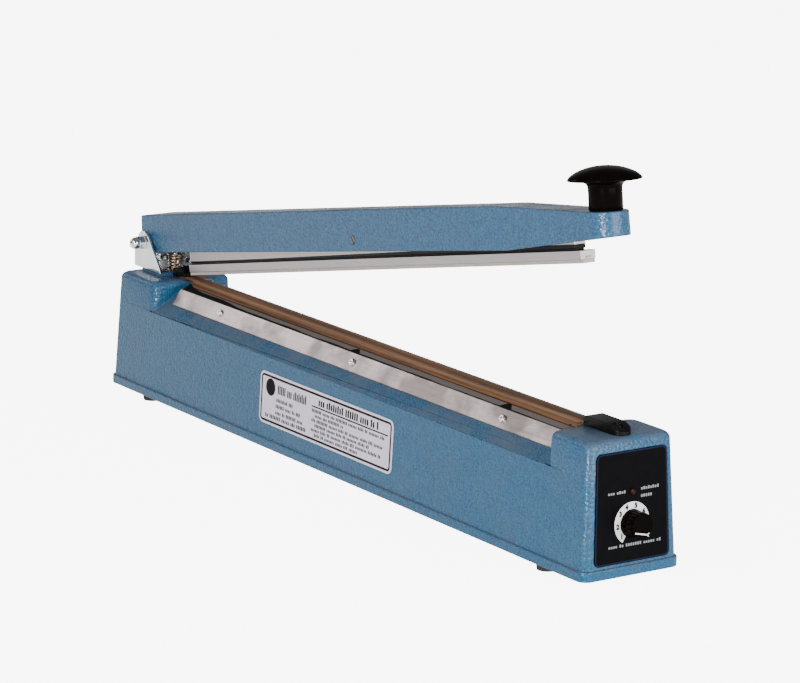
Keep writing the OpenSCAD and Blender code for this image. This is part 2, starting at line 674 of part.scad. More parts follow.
relay = [15, 19, 19];
big_cap = [5, 14];
small_cap = [4, 11];
film_cap = [9, 12, 10];
chip = [2.4, 2, 6.4];
module brick(size, y, z) translate([-size[0], y - size[1] / 2, z - size[2] / 2]) cube(size);
module board_parts() framed() color([0.15, 0.30, 0.55]) on_front(dial_h)
    translate([pot_back - 2 * seat_gap - board_t, 0, board_h / 2 - board_drop]) {
        brick(relay, -board_w * 0.26, -board_h * 0.18);
        brick(film_cap, -board_w * 0.25, board_h * 0.27);
        translate([0, board_w * 0.2, -board_h * 0.22]) peg_x(big_cap[0], -big_cap[1], 0);
        translate([0, board_w * 0.3, board_h * 0.2]) peg_x(small_cap[0], -small_cap[1], 0);
        for (i = [-1:1]) brick(chip, board_w * (0.06 + 0.05 * i), board_h * 0.34);
    }

// Transformer on the floor
core_x = 150;
core_l = 66;
core_h = 55;
core_t = 32;
limb = 11;
core_low = floor_t + seat_gap;
coil_w = 54;
coil_corner = 4;
module transformer_core() framed() color([0.30, 0.29, 0.28])
    translate([core_x, 0, core_low]) along_y(-core_t / 2, core_t / 2) difference() {
        translate([-core_l / 2, 0]) square([core_l, core_h]);
        for (s = [0, 1]) mirror([s, 0]) translate([limb, limb]) square([core_l / 2 - 2 * limb, core_h - 2 * limb]);
    }
module transformer_coil() framed() color([0.70, 0.52, 0.20])
    translate([core_x, 0, core_low]) difference() {
        coil_half = core_l / 2 - limb - seat_gap;
        translate([0, 0, limb + seat_gap]) linear_extrude(core_h - 2 * limb - 2 * seat_gap)
            polygon([[-coil_half, coil_corner - coil_w / 2], [coil_corner - coil_half, -coil_w / 2],
                [coil_half - coil_corner, -coil_w / 2], [coil_half, coil_corner - coil_w / 2],
                [coil_half, coil_w / 2 - coil_corner], [coil_half - coil_corner, coil_w / 2],
                [coil_corner - coil_half, coil_w / 2], [-coil_half, coil_w / 2 - coil_corner]]);
        box(-limb - seat_gap, limb + seat_gap, -core_t / 2 - seat_gap, core_t / 2 + seat_gap, 0, core_h);
    }
strap_t = 1.2;
strap_w = 20;
strap_foot = 14;
strap_side = core_l / 2 + seat_gap;
module at_strap_screws() for (s = [-1, 1])
    translate([core_x + s * (strap_side + (strap_foot + strap_t) / 2), 0, floor_t + strap_t]) children();
module transformer_strap() framed() color(steel) difference() {
    strap_top = core_h + 2 * seat_gap;
    translate([core_x, 0, floor_t]) along_y(-strap_w / 2, strap_w / 2) polygon([
        [-strap_side - strap_foot, 0], [-strap_side, 0], [-strap_side, strap_top], [strap_side, strap_top],
        [strap_side, 0], [strap_side + strap_foot, 0],
        [strap_side + strap_foot, strap_t], [strap_side + strap_t, strap_t],
        [strap_side + strap_t, strap_top + strap_t], [-strap_side - strap_t, strap_top + strap_t],
        [-strap_side - strap_t, strap_t], [-strap_side - strap_foot, strap_t]]);
    at_strap_screws() peg_z(m4_r + screw_gap, -strap_t - cut, cut);
}
module transformer_screws() framed() color(plated) at_strap_screws() pan_screw(m4_r, strap_t, m4_head_r, m4_head_h);

// Switch body with a lever on two ears and a button under the lever
button_r = 1.2;
button_at = 7;
button_deep = 6;
lever_pin_x = 1.5;
lever_pin_h = 1.2;
lever_pin_r = 0.6;
lever_ear_r = 1.1;
lever_ear_t = 1.2;
lever_t = 0.8;
lever_w = 5;
lever_l = 20;
lever_open = 14.4;
lever_arm = rod_at - switch_x - lever_pin_x;
leg_w = 3;
leg_t = 0.8;
leg_l = 7;
module at_lever() translate([switch_x + lever_pin_x, 0, switch_top + lever_pin_h]) children();
module micro_switch() framed() color([0.16, 0.16, 0.17]) difference() {
    union() {
        box(switch_x, switch_x + switch_l, -switch_w / 2, switch_w / 2, switch_top - switch_h, switch_top);
        for (s = [-1, 1]) at_lever() translate([0, s * (switch_w - lever_ear_t) / 2, 0]) {
            peg_y(lever_ear_r, -lever_ear_t / 2, lever_ear_t / 2);
            box(-lever_ear_r, lever_ear_r, -lever_ear_t / 2, lever_ear_t / 2, -lever_pin_h - lever_ear_t, 0);
        }
        for (i = [0:2]) translate([switch_x + switch_l * (0.18 + 0.32 * i), 0, switch_top - switch_h])
            box(-leg_w / 2, leg_w / 2, -leg_t / 2, leg_t / 2, -leg_l, cut);
    }
    at_lever() {
        translate([button_at, 0, 0]) peg_z(button_r + run_gap, -lever_pin_h - button_deep * 1.4, 0);
        peg_y(lever_pin_r + run_gap, -switch_w, switch_w);
    }
    at_switch_screws() peg_y(m3_r + screw_gap, -switch_w, switch_w);
}
module switch_screws() framed() color(plated) at_switch_screws() translate([0, -switch_w / 2, 0])
    rotate([90, 0, 0]) pan_screw(m3_r, switch_w + lug_t, m3_head_r, m3_head_h);

module switch_lever() framed() color(plated) at_lever() rotate([0, -lever_open, 0]) {
    peg_y(lever_pin_r, -switch_w / 2, switch_w / 2);
    box(0, lever_l, -lever_w / 2, lever_w / 2, -lever_t / 2, lever_t / 2);
}
button_top = (button_at - button_r) * tan(lever_open) - lever_t / 2 / cos(lever_open) - move_gap;
module switch_button() framed() color([0.65, 0.10, 0.10])
    at_lever() translate([button_at, 0, 0]) peg_z(button_r, -lever_pin_h - button_deep, button_top);

// Cord gland in the rear wall, with an empty bore
gland_bore_r = 3.5;
gland_flange_t = 2.2;
gland_rim = 2.2;
gland_tail = 4;
module cord_gland() framed() color(black) on_rear(gland_h) difference() {
    union() {
        peg_x(gland_r, -wall_t - gland_tail, gland_flange_t);
        peg_x(gland_r + gland_rim, seat_gap, gland_flange_t);
        peg_x(gland_r + gland_rim, -wall_t - gland_tail / 2, -wall_t - seat_gap);
    }
    peg_x(gland_bore_r, -wall_t - gland_tail - cut, gland_flange_t + cut);
}

// Hinge bracket: base, rear web and two ears from one sheet
ear_shoulder_deg = 28;
ear_lip = 3.5;
ear_knee = 6.5;
web_rise = 6;
module ear_profile() {
    translate([pivot_x, pivot_h]) circle(r = ear_r, $fn = round_fn);
    polygon([[pivot_x - ear_rear, bracket_low], [pivot_x - ear_rear, pivot_h - ear_knee],
        [pivot_x - ear_r, pivot_h], [pivot_x, pivot_h + ear_r / 2],
        [pivot_x + ear_r * cos(ear_shoulder_deg), pivot_h + ear_r * sin(ear_shoulder_deg)],
        [pivot_x + ear_front - bracket_t, bracket_low + ear_lip], [pivot_x + ear_front, bracket_low]]);
}
module hinge_bracket() framed() color(plated) difference() {
    half = ear_gap / 2;
    rear = pivot_x - ear_rear;
    union() {
        for (s = [-1, 1]) translate([0, s * (half + bracket_t / 2), 0])
            along_y(-bracket_t / 2, bracket_t / 2) ear_profile();
        box(rear, pivot_x + base_front, -half - bracket_t / 2, half + bracket_t / 2, bracket_low, bracket_top);
        box(rear, rear + bracket_t, -half - bracket_t / 2, half + bracket_t / 2, bracket_low, pivot_h - ear_knee);
        box(rear, rear + bracket_t, -half * 0.6, half * 0.6, bracket_low, pivot_h + web_rise);
    }
    translate([pivot_x, 0, pivot_h]) peg_y(bolt_r + run_gap, -ear_gap, ear_gap);
    translate([rod_at, 0, 0]) peg_z(spring_hole_r, bracket_low - cut, bracket_top + cut);
    at_bracket_screws() peg_z(m4_r + screw_gap, bracket_low - cut, bracket_top + cut);
}
module bracket_screws() framed() color(plated) at_bracket_screws() translate([0, 0, bracket_top])
    pan_screw(m4_r, bracket_top - casing_h + wall_t + bite_l / 2, m4_head_r, m4_head_h);

// Pivot bolt with its head on the far side and a domed nut on the near side
ear_out = ear_gap / 2 + bracket_t;
bolt_hex_r = 5.77;
dome_r = 4.75;
hex_h = 5;
head_h = 4.2;
dome_base = 2;
module at_pivot() translate([pivot_x, 0, pivot_h]) children();
module pivot_bolt() framed() color(plated) at_pivot() {
    peg_y(bolt_r, -ear_out - hex_h - dome_base, ear_out + head_h / 2);
    translate([0, ear_out + seat_gap + head_h, 0]) rotate([90, 30, 0]) cylinder(r = bolt_hex_r, h = head_h, $fn = 6);
}
module pivot_nut() framed() color(plated) at_pivot() translate([0, -ear_out - seat_gap, 0]) rotate([90, 0, 0])
    difference() {
        union() {
            rotate(12) cylinder(r = bolt_hex_r, h = hex_h, $fn = 6);
            rotate_extrude($fn = round_fn) polygon(concat([[0, hex_h - cut], [dome_r, hex_h - cut]],
                [for (i = [0:9]) [dome_r * cos(10 * i), hex_h + dome_base + dome_r * sin(10 * i)]]));
        }
        peg_z(bolt_r + seat_gap, -cut, hex_h + dome_base + 2 * seat_gap);
    }
washer_r = 6.5;
module hinge_washers() framed() color(plated) at_pivot() for (s = [0, 1]) mirror([0, s, 0]) difference() {
    peg_y(washer_r, arm_w / 2 + move_gap, ear_gap / 2 - seat_gap);
    peg_y(bolt_r + seat_gap, 0, ear_gap / 2);
}

// Arm frame: origin at the pivot, X along the arm. The arm is drawn open at its rest
arm_low = arm_top - arm_h;
arm_rear = 8.9;
heel_low = 2;
heel_bevel = 2;
hinge_block_l = 26;
nose_low_set = 11;
nose_solid_l = 20;
nose_start = knob_x - nose_l;
nose_end = knob_x + arm_w / 2;
nose_solid = knob_x - nose_solid_l;
pin_low_h = tongue_top + close_gap + pin_rise - pivot_h;
function turned(p, d) = [p[0] * cos(d) - p[1] * sin(d), p[0] * sin(d) + p[1] * cos(d)];
pin_arm = turned([pin_x, pin_low_h], -arm_closed);
module arm_frame() at_pivot() rotate([0, -arm_open, 0]) children();
function nose_top(x) = arm_top - (x - nose_start) * tan(nose_top_deg);
function nose_low(x) = arm_low + (x - nose_start - nose_low_set) * tan(nose_low_deg);
module at_bar_pin() translate([pin_arm[0], 0, pin_arm[1]]) children();
module at_knob() translate([knob_x, 0, nose_top(knob_x)]) rotate([0, nose_top_deg, 0]) children();

bush_wall = 1.5;
bush_hole_r = bolt_r + run_gap + bush_wall + seat_gap;
bar_pin_r = 2.5;
pin_head_r = 3.1;
pin_head_h = 1.6;
cheek_r = 6;
web_w = 9;
knob_screw_r = 4;
knob_head_r = 6.5;
knob_head_h = 5;
knob_web = 7;

module arm_casting() framed() color(casing_blue) arm_frame() difference() {
    intersection() {
        along_y(-arm_w, arm_w) polygon([[-arm_rear, arm_top], [nose_start, arm_top], [nose_end, nose_top(nose_end)],
            [nose_end, nose_low(nose_end)], [nose_start + nose_low_set, arm_low], [heel_bevel - arm_rear, arm_low],
            [-arm_heel, -heel_low], [-arm_heel, heel_top]]);
        translate([0, 0, -arm_h]) linear_extrude(2 * arm_h) union() {
            translate([-arm_heel - cut, -arm_w / 2]) square([knob_x + arm_heel + cut, arm_w]);
            translate([knob_x, 0]) circle(r = arm_w / 2, $fn = round_fn);
        }
    }
    difference() {
        along_y(arm_t - arm_w / 2, arm_w / 2 - arm_t) polygon([[hinge_block_l, arm_low - cut],
            [hinge_block_l, arm_top - arm_t], [nose_start, arm_top - arm_t],
            [nose_solid, nose_top(nose_solid) - arm_t], [nose_solid, arm_low - cut]]);
        for (s = [0, 1]) mirror([0, s, 0]) at_bar_pin() peg_y(cheek_r, web_w / 2 + move_gap + seat_gap, arm_w / 2);
    }
    peg_y(bush_hole_r, -arm_w, arm_w);
    at_bar_pin() {
        peg_y(bar_pin_r + seat_gap, -arm_w, arm_w);
        peg_y(pin_head_r + seat_gap, -arm_w, -arm_w / 2 + pin_head_h + seat_gap);
    }
    at_knob() {
        peg_z(knob_screw_r + screw_gap, -arm_h, cut);
        peg_z(knob_head_r + screw_gap, -arm_h, -knob_web);
    }
}
module hinge_bush() framed() color(brass) arm_frame() difference() {
    peg_y(bush_hole_r - seat_gap, -arm_w / 2, arm_w / 2);
    peg_y(bolt_r + run_gap, -arm_w, arm_w);
}
pin_slot_w = 0.9;
pin_slot_h = 0.8;
module bar_pin() framed() color(plated) arm_frame() at_bar_pin() difference() {
    union() {
        peg_y(bar_pin_r, pin_head_h / 2 - arm_w / 2, arm_w / 2 - seat_gap);
        peg_y(pin_head_r, -arm_w / 2, pin_head_h - arm_w / 2);
    }
    rotate([0, 60, 0]) box(-pin_head_r - cut, pin_head_r + cut, -arm_w, pin_slot_h - arm_w / 2,
        -pin_slot_w / 2, pin_slot_w / 2);
}

// Hand knob on the nose, square to its top: a stem that flares into a domed cap with a thin rim
neck_r = 4.5;
rim_r = 0.8;
dome_power = 1.45;
knob_bore_l = 16;
rim_low = stem_h + rim_r * 2;
dome_low = rim_low + rim_r * sin(60);
dome_base_r = knob_r - rim_r * (1 - cos(60));
module hand_knob() framed() color(black) arm_frame() at_knob() rotate_extrude($fn = round_fn) polygon(concat(
    [[knob_screw_r + seat_gap, seat_gap], [stem_r * 0.95, seat_gap], [stem_r, stem_r * 0.07]],
    [for (i = [0:6]) let (a = 15 * i)
        [stem_r + neck_r * (1 - cos(a)), stem_h - neck_r + neck_r * sin(a)]],
    [for (i = [0:5]) let (a = -60 + 24 * i) [knob_r - rim_r + rim_r * cos(a), rim_low + rim_r * sin(a)]],
    [for (i = [1:8]) let (a = 90 * i / 8)
        [dome_base_r * cos(a), dome_low + (stem_h + cap_h - dome_low) * pow(sin(a), dome_power)]],
    [[0, knob_bore_l], [knob_screw_r + seat_gap, knob_bore_l]]));
module knob_screw() framed() color(plated) arm_frame() at_knob() {
    peg_z(knob_screw_r, -knob_web - skin, knob_bore_l - seat_gap);
    translate([0, 0, -knob_web - knob_head_h]) difference() {
        peg_z(knob_head_r, 0, knob_head_h);
        cylinder(r = knob_head_r / 2, h = knob_head_h, $fn = 6, center = true);
    }
}

// Bar frame: origin at the bar's pin, X along the bar
pad_h_out = 2.5;
flange_h = 6.1;
neck_h = 1.3;
web_above = 4.7;
flange_low = pad_h_out - pin_rise;
flange_top = flange_low + flange_h;
web_low = flange_top + neck_h;
neck_w = 6.4;
web_short = 8;
key_w = 5;
key_h = 2;
pad_side_in = 0.8;
pad_face_w = bar_w - 2 * pad_side_in;
module bar_frame()
    at_pivot() rotate([0, -arm_travel, 0]) translate([pin_x, 0, pin_low_h]) rotate([0, -bar_rock, 0]) children();

module pressure_bar() framed() color([0.74, 0.72, 0.73]) bar_frame() difference() {
    union() {
        along_x(-bar_rear_l, bar_front_l) polygon([[-bar_w / 2, flange_low], [-bar_w / 2, flange_top],
            [bar_w / 2, flange_top], [bar_w / 2, flange_low], [key_w / 2, flange_low],
            [key_w / 2, flange_low + key_h], [-key_w / 2, flange_low + key_h], [-key_w / 2, flange_low]]);
        along_x(-bar_rear_l, bar_front_l - web_short) polygon([[-neck_w / 2, flange_top - skin],
            [-neck_w / 2, web_low], [-web_w / 2, web_low], [-web_w / 2, web_above], [web_w / 2, web_above],
            [web_w / 2, web_low], [neck_w / 2, web_low], [neck_w / 2, flange_top - skin]]);
    }
    peg_y(bar_pin_r + run_gap, -web_w, web_w);
}
module silicone_strip() framed() color([0.62, 0.58, 0.55]) bar_frame() along_x(-bar_rear_l, bar_front_l)
    polygon([[-pad_face_w / 2, -pin_rise], [-pad_face_w / 2, flange_low - seat_gap],
        [seat_gap - key_w / 2, flange_low - seat_gap], [seat_gap - key_w / 2, flange_low + key_h - seat_gap],
        [key_w / 2 - seat_gap, flange_low + key_h - seat_gap], [key_w / 2 - seat_gap, flange_low - seat_gap],
        [pad_face_w / 2, flange_low - seat_gap], [pad_face_w / 2, -pin_rise]]);

// Lift spring around the push rod, between the rear block and the arm's floor
function floor_h(x) = pivot_h + x * tan(arm_open) + arm_low / cos(arm_open);
spring_low = casing_h + seat_gap;
spring_high = floor_h(rod_x - spring_r) - move_gap;
spring_turns = 6;
spring_mean_r = spring_r - spring_wire_r;
spring_steps = 8;
spring_sides = 6;
spring_rings = spring_turns * spring_steps;
spring_span = spring_high - spring_low - 2 * spring_wire_r;
dead_turn_share = 1 / spring_turns;
dead_span = spring_wire_r * 2.6;
// Height along the wire: close end turns, with an even rise between them
function coil_h(t) = t < dead_turn_share ? dead_span * t / dead_turn_share :
    t > 1 - dead_turn_share ? spring_span - dead_span * (1 - t) / dead_turn_share :
    dead_span + (spring_span - 2 * dead_span) * (t - dead_turn_share) / (1 - 2 * dead_turn_share);
function coil_point(i) = let (t = i / spring_rings, a = 360 / spring_steps * i)
    [spring_mean_r * cos(a), spring_mean_r * sin(a), spring_low + spring_wire_r + coil_h(t)];
function coil_ring(i) = let (p = coil_point(i), a = 360 / spring_steps * i)
    [for (k = [0:spring_sides - 1]) let (b = 360 / spring_sides * k)
        p + spring_wire_r * [cos(b) * cos(a), cos(b) * sin(a), sin(b)]];
coil_gap = min([for (i = [0:spring_rings], j = [0:spring_rings]) if (j > i + spring_steps / 2)
    norm(coil_point(i) - coil_point(j)) - 2 * spring_wire_r]);
echo(spring_self_gap = coil_gap);

module lift_spring() framed() color([0.70, 0.62, 0.52]) translate([rod_at, 0, 0]) polyhedron(
    points = [for (i = [0:spring_rings]) each coil_ring(i)],
    faces = concat(
        [for (k = [1:spring_sides - 2]) [0, k, k + 1]],
        [for (i = [0:spring_rings - 1], k = [0:spring_sides - 1]) let (n = (k + 1) % spring_sides, m = i * spring_sides)
            each [[m + k, m + spring_sides + k, m + n], [m + n, m + spring_sides + k, m + spring_sides + n]]],
        [for (k = [1:spring_sides - 2], m = [spring_rings * spring_sides]) [m, m + k + 1, m + k]]));

// Push rod from the arm's floor down to the switch lever, with a clip under its guide
rod_low = switch_top + lever_pin_h + (lever_arm + rod_r) * tan(lever_open) + lever_t / 2 / cos(lever_open) + move_gap;
rod_top = floor_h(rod_x) - (rod_r + move_gap) / cos(arm_open);
clip_t = 1;
clip_w = 1.6;
clip_groove_h = 0.5;
clip_high = guide_h - move_gap;
module push_rod() framed() color(plated) translate([rod_at, 0, 0]) difference() {
    union() {
        peg_z(rod_r, rod_low, rod_top);
        rotate_extrude($fn = round_fn) polygon(concat([[0, rod_top - skin], [rod_r, rod_top - skin]],
            [for (i = [0:6]) [rod_r * cos(15 * i), rod_top + rod_r * sin(15 * i)]]));
    }
    difference() {
        peg_z(rod_r + cut, clip_high - clip_t, clip_high);
        peg_z(rod_r - clip_groove_h, 0, casing_h);
    }
}
module rod_clip() framed() color(steel) translate([rod_at, 0, 0]) difference() {
    peg_z(rod_r + clip_w, clip_high - clip_t + seat_gap / 2, clip_high - seat_gap / 2);
    peg_z(rod_r - clip_groove_h + seat_gap / 2, 0, casing_h);
}

base_casing();
base_plate();
base_screws();
rubber_feet();
foot_screws();
heater_bed();
bed_screws();
heating_ribbon();
cover_sheet();
near_clamp_strip();
far_clamp_strip();
strip_screws();
terminal_insulators();
terminals();
terminal_nuts();
front_terminal_cover();
rear_terminal_cover();
cover_screws();
control_plate();
instruction_plate();
indicator_lamp();
potentiometer();
potentiometer_nut();
timer_board();
board_parts();
transformer_core();
transformer_coil();
transformer_strap();
transformer_screws();
micro_switch();
switch_screws();
cord_gland();
hinge_bracket();
bracket_screws();
pivot_bolt();
pivot_nut();
hinge_washers();
arm_casting();
hinge_bush();
hand_knob();
knob_screw();
bar_pin();
pressure_bar();
silicone_strip();
lift_spring();
push_rod();
rod_clip();
switch_lever();
switch_button();
timer_knob();
timer_shaft();
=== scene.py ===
"""Dresses the hand impulse sealer: finishes, soft edges, printed marks, the lift spring and the studio."""
import json
import logging
import math
from dataclasses import dataclass
from enum import Enum

import bmesh
import bpy
from mathutils import Matrix, Vector


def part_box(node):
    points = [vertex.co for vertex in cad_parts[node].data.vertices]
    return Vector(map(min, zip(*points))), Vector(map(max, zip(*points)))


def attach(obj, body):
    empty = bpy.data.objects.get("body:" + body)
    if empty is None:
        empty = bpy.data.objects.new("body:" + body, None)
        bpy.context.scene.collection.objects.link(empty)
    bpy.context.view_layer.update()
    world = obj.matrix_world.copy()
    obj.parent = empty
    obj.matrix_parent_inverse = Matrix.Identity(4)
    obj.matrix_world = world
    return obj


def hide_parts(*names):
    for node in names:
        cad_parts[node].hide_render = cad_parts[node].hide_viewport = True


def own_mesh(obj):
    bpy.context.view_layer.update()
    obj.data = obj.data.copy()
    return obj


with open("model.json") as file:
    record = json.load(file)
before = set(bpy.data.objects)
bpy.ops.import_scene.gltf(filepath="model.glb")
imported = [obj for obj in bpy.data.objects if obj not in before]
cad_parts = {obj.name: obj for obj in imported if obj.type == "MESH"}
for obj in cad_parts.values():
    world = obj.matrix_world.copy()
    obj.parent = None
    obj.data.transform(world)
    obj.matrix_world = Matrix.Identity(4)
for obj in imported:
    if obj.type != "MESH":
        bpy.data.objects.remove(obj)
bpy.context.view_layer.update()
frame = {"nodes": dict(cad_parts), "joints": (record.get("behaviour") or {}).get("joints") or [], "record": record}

MM = 0.001
IN_MM = (1 / MM,) * 3
CREASE = 32.0
Colour = tuple[float, float, float]
Triple = tuple[float, float, float]
Pair = tuple[float, float]
Inputs = dict[str | int, object]
Socket = bpy.types.NodeSocket
log = logging.getLogger("sealer")


class Grain(Enum):
    """The patterns that a finish can carry."""

    FINE = "fine_grain"
    HAMMER = "hammered_paint"
    WOVEN = "woven_cloth"


@dataclass
class NodeBench:
    """Short calls that add and join the nodes of one tree."""

    tree: bpy.types.NodeTree

    def add(self, kind: str, inputs: Inputs | None = None, **settings: object) -> bpy.types.Node:
        """Adds a node, sets its properties and feeds its inputs.

        Args:
            kind: The node's type name.
            inputs: A socket or a plain value for each input, by its name or place.
            settings: Properties of the node and their values.

        Returns:
            The new node.
        """
        node = self.tree.nodes.new(kind)
        row, column = divmod(len(self.tree.nodes), 7)
        node.location = (180.0 * column, -240.0 * row)
        for name, value in settings.items():
            setattr(node, name, value)
        self.feed(node, inputs or {})
        return node

    def feed(self, node: bpy.types.Node, inputs: Inputs) -> None:
        """Joins sockets to a node's inputs, or sets the inputs' own values.

        Args:
            node: The node that takes the values.
            inputs: A socket or a plain value for each input, by its name or place.
        """
        for place, value in inputs.items():
            if isinstance(value, Socket):
                self.tree.links.new(value, node.inputs[place])
            else:
                node.inputs[place].default_value = value

    def maths(self, operation: str, *values: object, clamp: bool = False) -> Socket:
        """Adds a Math node over sockets or numbers."""
        return self.add("ShaderNodeMath", dict(enumerate(values)), operation=operation, use_clamp=clamp).outputs[0]

    def weigh(self, *parts: tuple[Socket, float]) -> Socket:
        """Adds up values, each times its weight.

        Args:
            parts: The values and their weights.

        Returns:
            The sum.
        """
        total, *others = [self.maths("MULTIPLY", value, weight) for value, weight in parts]
        for other in others:
            total = self.maths("ADD", total, other)
        return total

    def spread(self, value: object, low: object, high: object, to_low: object = 0.0, to_high: object = 1.0,
               smooth: bool = False) -> Socket:
        """Maps a value from one range to another, with rounded ends if smooth."""
        return self.add("ShaderNodeMapRange", {"Value": value, "From Min": low, "From Max": high, "To Min": to_low,
                                               "To Max": to_high},
                        interpolation_type="SMOOTHSTEP" if smooth else "LINEAR").outputs["Result"]

    def blend(self, share: object, first: object, second: object) -> Socket:
        """Mixes two colours by the share of the second."""
        first, second = ((*colour, 1.0) if isinstance(colour, tuple) else colour for colour in (first, second))
        return self.add("ShaderNodeMix", {0: share, 6: first, 7: second}, data_type="RGBA").outputs[2]

    def noise(self, vector: Socket, scale: object, detail: float = 3.0, rough: float = 0.5) -> Socket:
        """Adds a noise texture. Its scale is per metre."""
        return self.add("ShaderNodeTexNoise", {"Vector": vector, "Scale": scale, "Detail": detail,
                                               "Roughness": rough}).outputs[0]

    def mapped(self, vector: Socket, scale: Triple, turn: float = 0.0) -> Socket:
        """Scales a vector and turns it about Y, in degrees."""
        return self.add("ShaderNodeMapping", {"Vector": vector, "Scale": scale,
                                              "Rotation": (0.0, math.radians(turn), 0.0)}).outputs[0]

    def split(self, vector: Socket) -> tuple[Socket, ...]:
        """Splits a vector into X, Y and Z."""
        return tuple(self.add("ShaderNodeSeparateXYZ", {0: vector}).outputs)

    def bump(self, strength: float, depth: float, height: Socket, normal: Socket) -> Socket:
        """Adds a Bump node over a normal. Its depth is in millimetres."""
        return self.add("ShaderNodeBump", {"Strength": strength, "Distance": depth * MM, "Height": height,
                                           "Normal": normal}).outputs[0]


class GroupShelf:
    """Builds each shared node group once and places it in the materials."""

    GRAIN_RANGE = (0.33, 0.67)
    BOWL_RANGE = (0.05, 0.75)
    FLECK_RANGE = (0.38, 0.62)
    CLOUD_RANGE = (0.35, 0.65)
    THREAD_RANGE = (0.3, 0.7)
    WORN_RANGE = (0.42, 0.62)
    EDGE_RANGE = (0.99, 0.86)
    FILM_RANGE = (0.4, 0.72, 0.3, 1.0)
    UPWARD_RANGE = (0.0, 0.7, 0.2, 1.0)

    def __init__(self) -> None:
        """Builds every group."""
        self.groups: dict[str, bpy.types.NodeTree] = {}
        for build in (self._fine, self._hammered, self._woven, self._edges, self._dust):
            build()

    def _open(self, name: str, takes: str, gives: str) -> tuple[NodeBench | bpy.types.Node | Socket, ...]:
        """Starts a group.

        Args:
            name: The group's name.
            takes: Names of its inputs, with spaces between.
            gives: Names of its outputs, with spaces between.

        Returns:
            The group's bench, its output node and a socket for each input.
        """
        tree = self.groups[name] = bpy.data.node_groups.new(name, "ShaderNodeTree")
        for side, labels in (("INPUT", takes), ("OUTPUT", gives)):
            for label in labels.split():
                kind = "Vector" if label in ("Vector", "Normal") else "Float"
                tree.interface.new_socket(name=label, in_out=side, socket_type=f"NodeSocket{kind}")
        bench = NodeBench(tree)
        inside, out = bench.add("NodeGroupInput"), bench.add("NodeGroupOutput")
        return bench, out, *(inside.outputs[label] for label in takes.split())

    def _fine(self) -> None:
        """Fine grain of two sizes."""
        bench, out, place, scale = self._open(Grain.FINE.value, "Vector Scale", "Tone Height")
        small = bench.noise(place, scale, 4.0, 0.6)
        wide = bench.noise(place, bench.maths("MULTIPLY", scale, 0.13), 2.0)
        bench.feed(out, {"Tone": bench.spread(bench.weigh((small, 0.6), (wide, 0.4)), *self.GRAIN_RANGE),
                         "Height": small})

    def _hammered(self) -> None:
        """Shallow round dimples with a fine metallic fleck."""
        bench, out, place, scale = self._open(Grain.HAMMER.value, "Vector Scale", "Tone Height")
        warp = bench.add("ShaderNodeTexNoise", {"Vector": place, "Scale": bench.maths("MULTIPLY", scale, 0.8)})
        shift = bench.add("ShaderNodeVectorMath", {0: warp.outputs["Color"],
                                                   "Scale": bench.maths("DIVIDE", 0.7, scale)}, operation="SCALE")
        moved = bench.add("ShaderNodeVectorMath", {0: place, 1: shift.outputs[0]}, operation="ADD")
        cells = bench.add("ShaderNodeTexVoronoi", {"Vector": moved.outputs[0], "Scale": scale, "Smoothness": 0.55},
                          feature="SMOOTH_F1")
        bowl = bench.spread(cells.outputs["Distance"], *self.BOWL_RANGE, smooth=True)
        fleck = bench.noise(place, bench.maths("MULTIPLY", scale, 2.0), rough=0.7)
        cloud = bench.noise(place, bench.maths("MULTIPLY", scale, 0.35), rough=0.6)
        tone = bench.weigh((bowl, 0.22), (bench.spread(fleck, *self.FLECK_RANGE), 0.66),
                           (bench.spread(cloud, *self.CLOUD_RANGE), 0.12))
        bench.feed(out, {"Tone": tone, "Height": bowl})

    def _woven(self) -> None:
        """Two crossing sets of fine threads."""
        bench, out, place, scale = self._open(Grain.WOVEN.value, "Vector Scale", "Tone Height")
        thread = {"Vector": place, "Scale": scale, "Distortion": 0.6, "Detail": 1.0}
        height = bench.maths("MAXIMUM", *(bench.add("ShaderNodeTexWave", thread, bands_direction=way).outputs["Fac"]
                                          for way in "XY"))
        wide = bench.noise(place, bench.maths("MULTIPLY", scale, 0.2))
        bench.feed(out, {"Tone": bench.weigh((height, 0.3), (bench.spread(wide, *self.THREAD_RANGE), 0.7)),
                         "Height": height})

    def _edges(self) -> None:
        """Softened normal, and a mask along sharp edges."""
        bench, out, place, radius = self._open("edge_wear", "Vector Radius", "Normal Mask")
        soft = bench.add("ShaderNodeBevel", {"Radius": radius}, samples=4).outputs[0]
        plain = bench.add("ShaderNodeNewGeometry").outputs["Normal"]
        turn = bench.add("ShaderNodeVectorMath", {0: soft, 1: plain}, operation="DOT_PRODUCT").outputs["Value"]
        patch = bench.spread(bench.noise(place, 260.0, 4.0, 0.7), *self.WORN_RANGE)
        mask = bench.maths("MULTIPLY", bench.spread(turn, *self.EDGE_RANGE), patch, clamp=True)
        bench.feed(out, {"Normal": soft, "Mask": mask})

    def _dust(self) -> None:
        """Faint grey layer, heavier on faces that look up: settled dirt on most finishes, and on the paint mostly a
        painted sheen where the tops catch the bright overhead.
        """
        bench, out, place = self._open("dust_and_sheen_film", "Vector", "Mask")
        patch = bench.spread(bench.noise(place, 30.0, 5.0, 0.65), *self.FILM_RANGE)
        upward = bench.split(bench.add("ShaderNodeNewGeometry").outputs["Normal"])[2]
        bench.feed(out, {"Mask": bench.maths("MULTIPLY", patch, bench.spread(upward, *self.UPWARD_RANGE),
                                             clamp=True)})

    def place(self, bench: NodeBench, name: str, **values: object) -> dict[str, Socket]:
        """Puts a group into a material and gives its outputs."""
        return bench.add("ShaderNodeGroup", values, node_tree=self.groups[name]).outputs


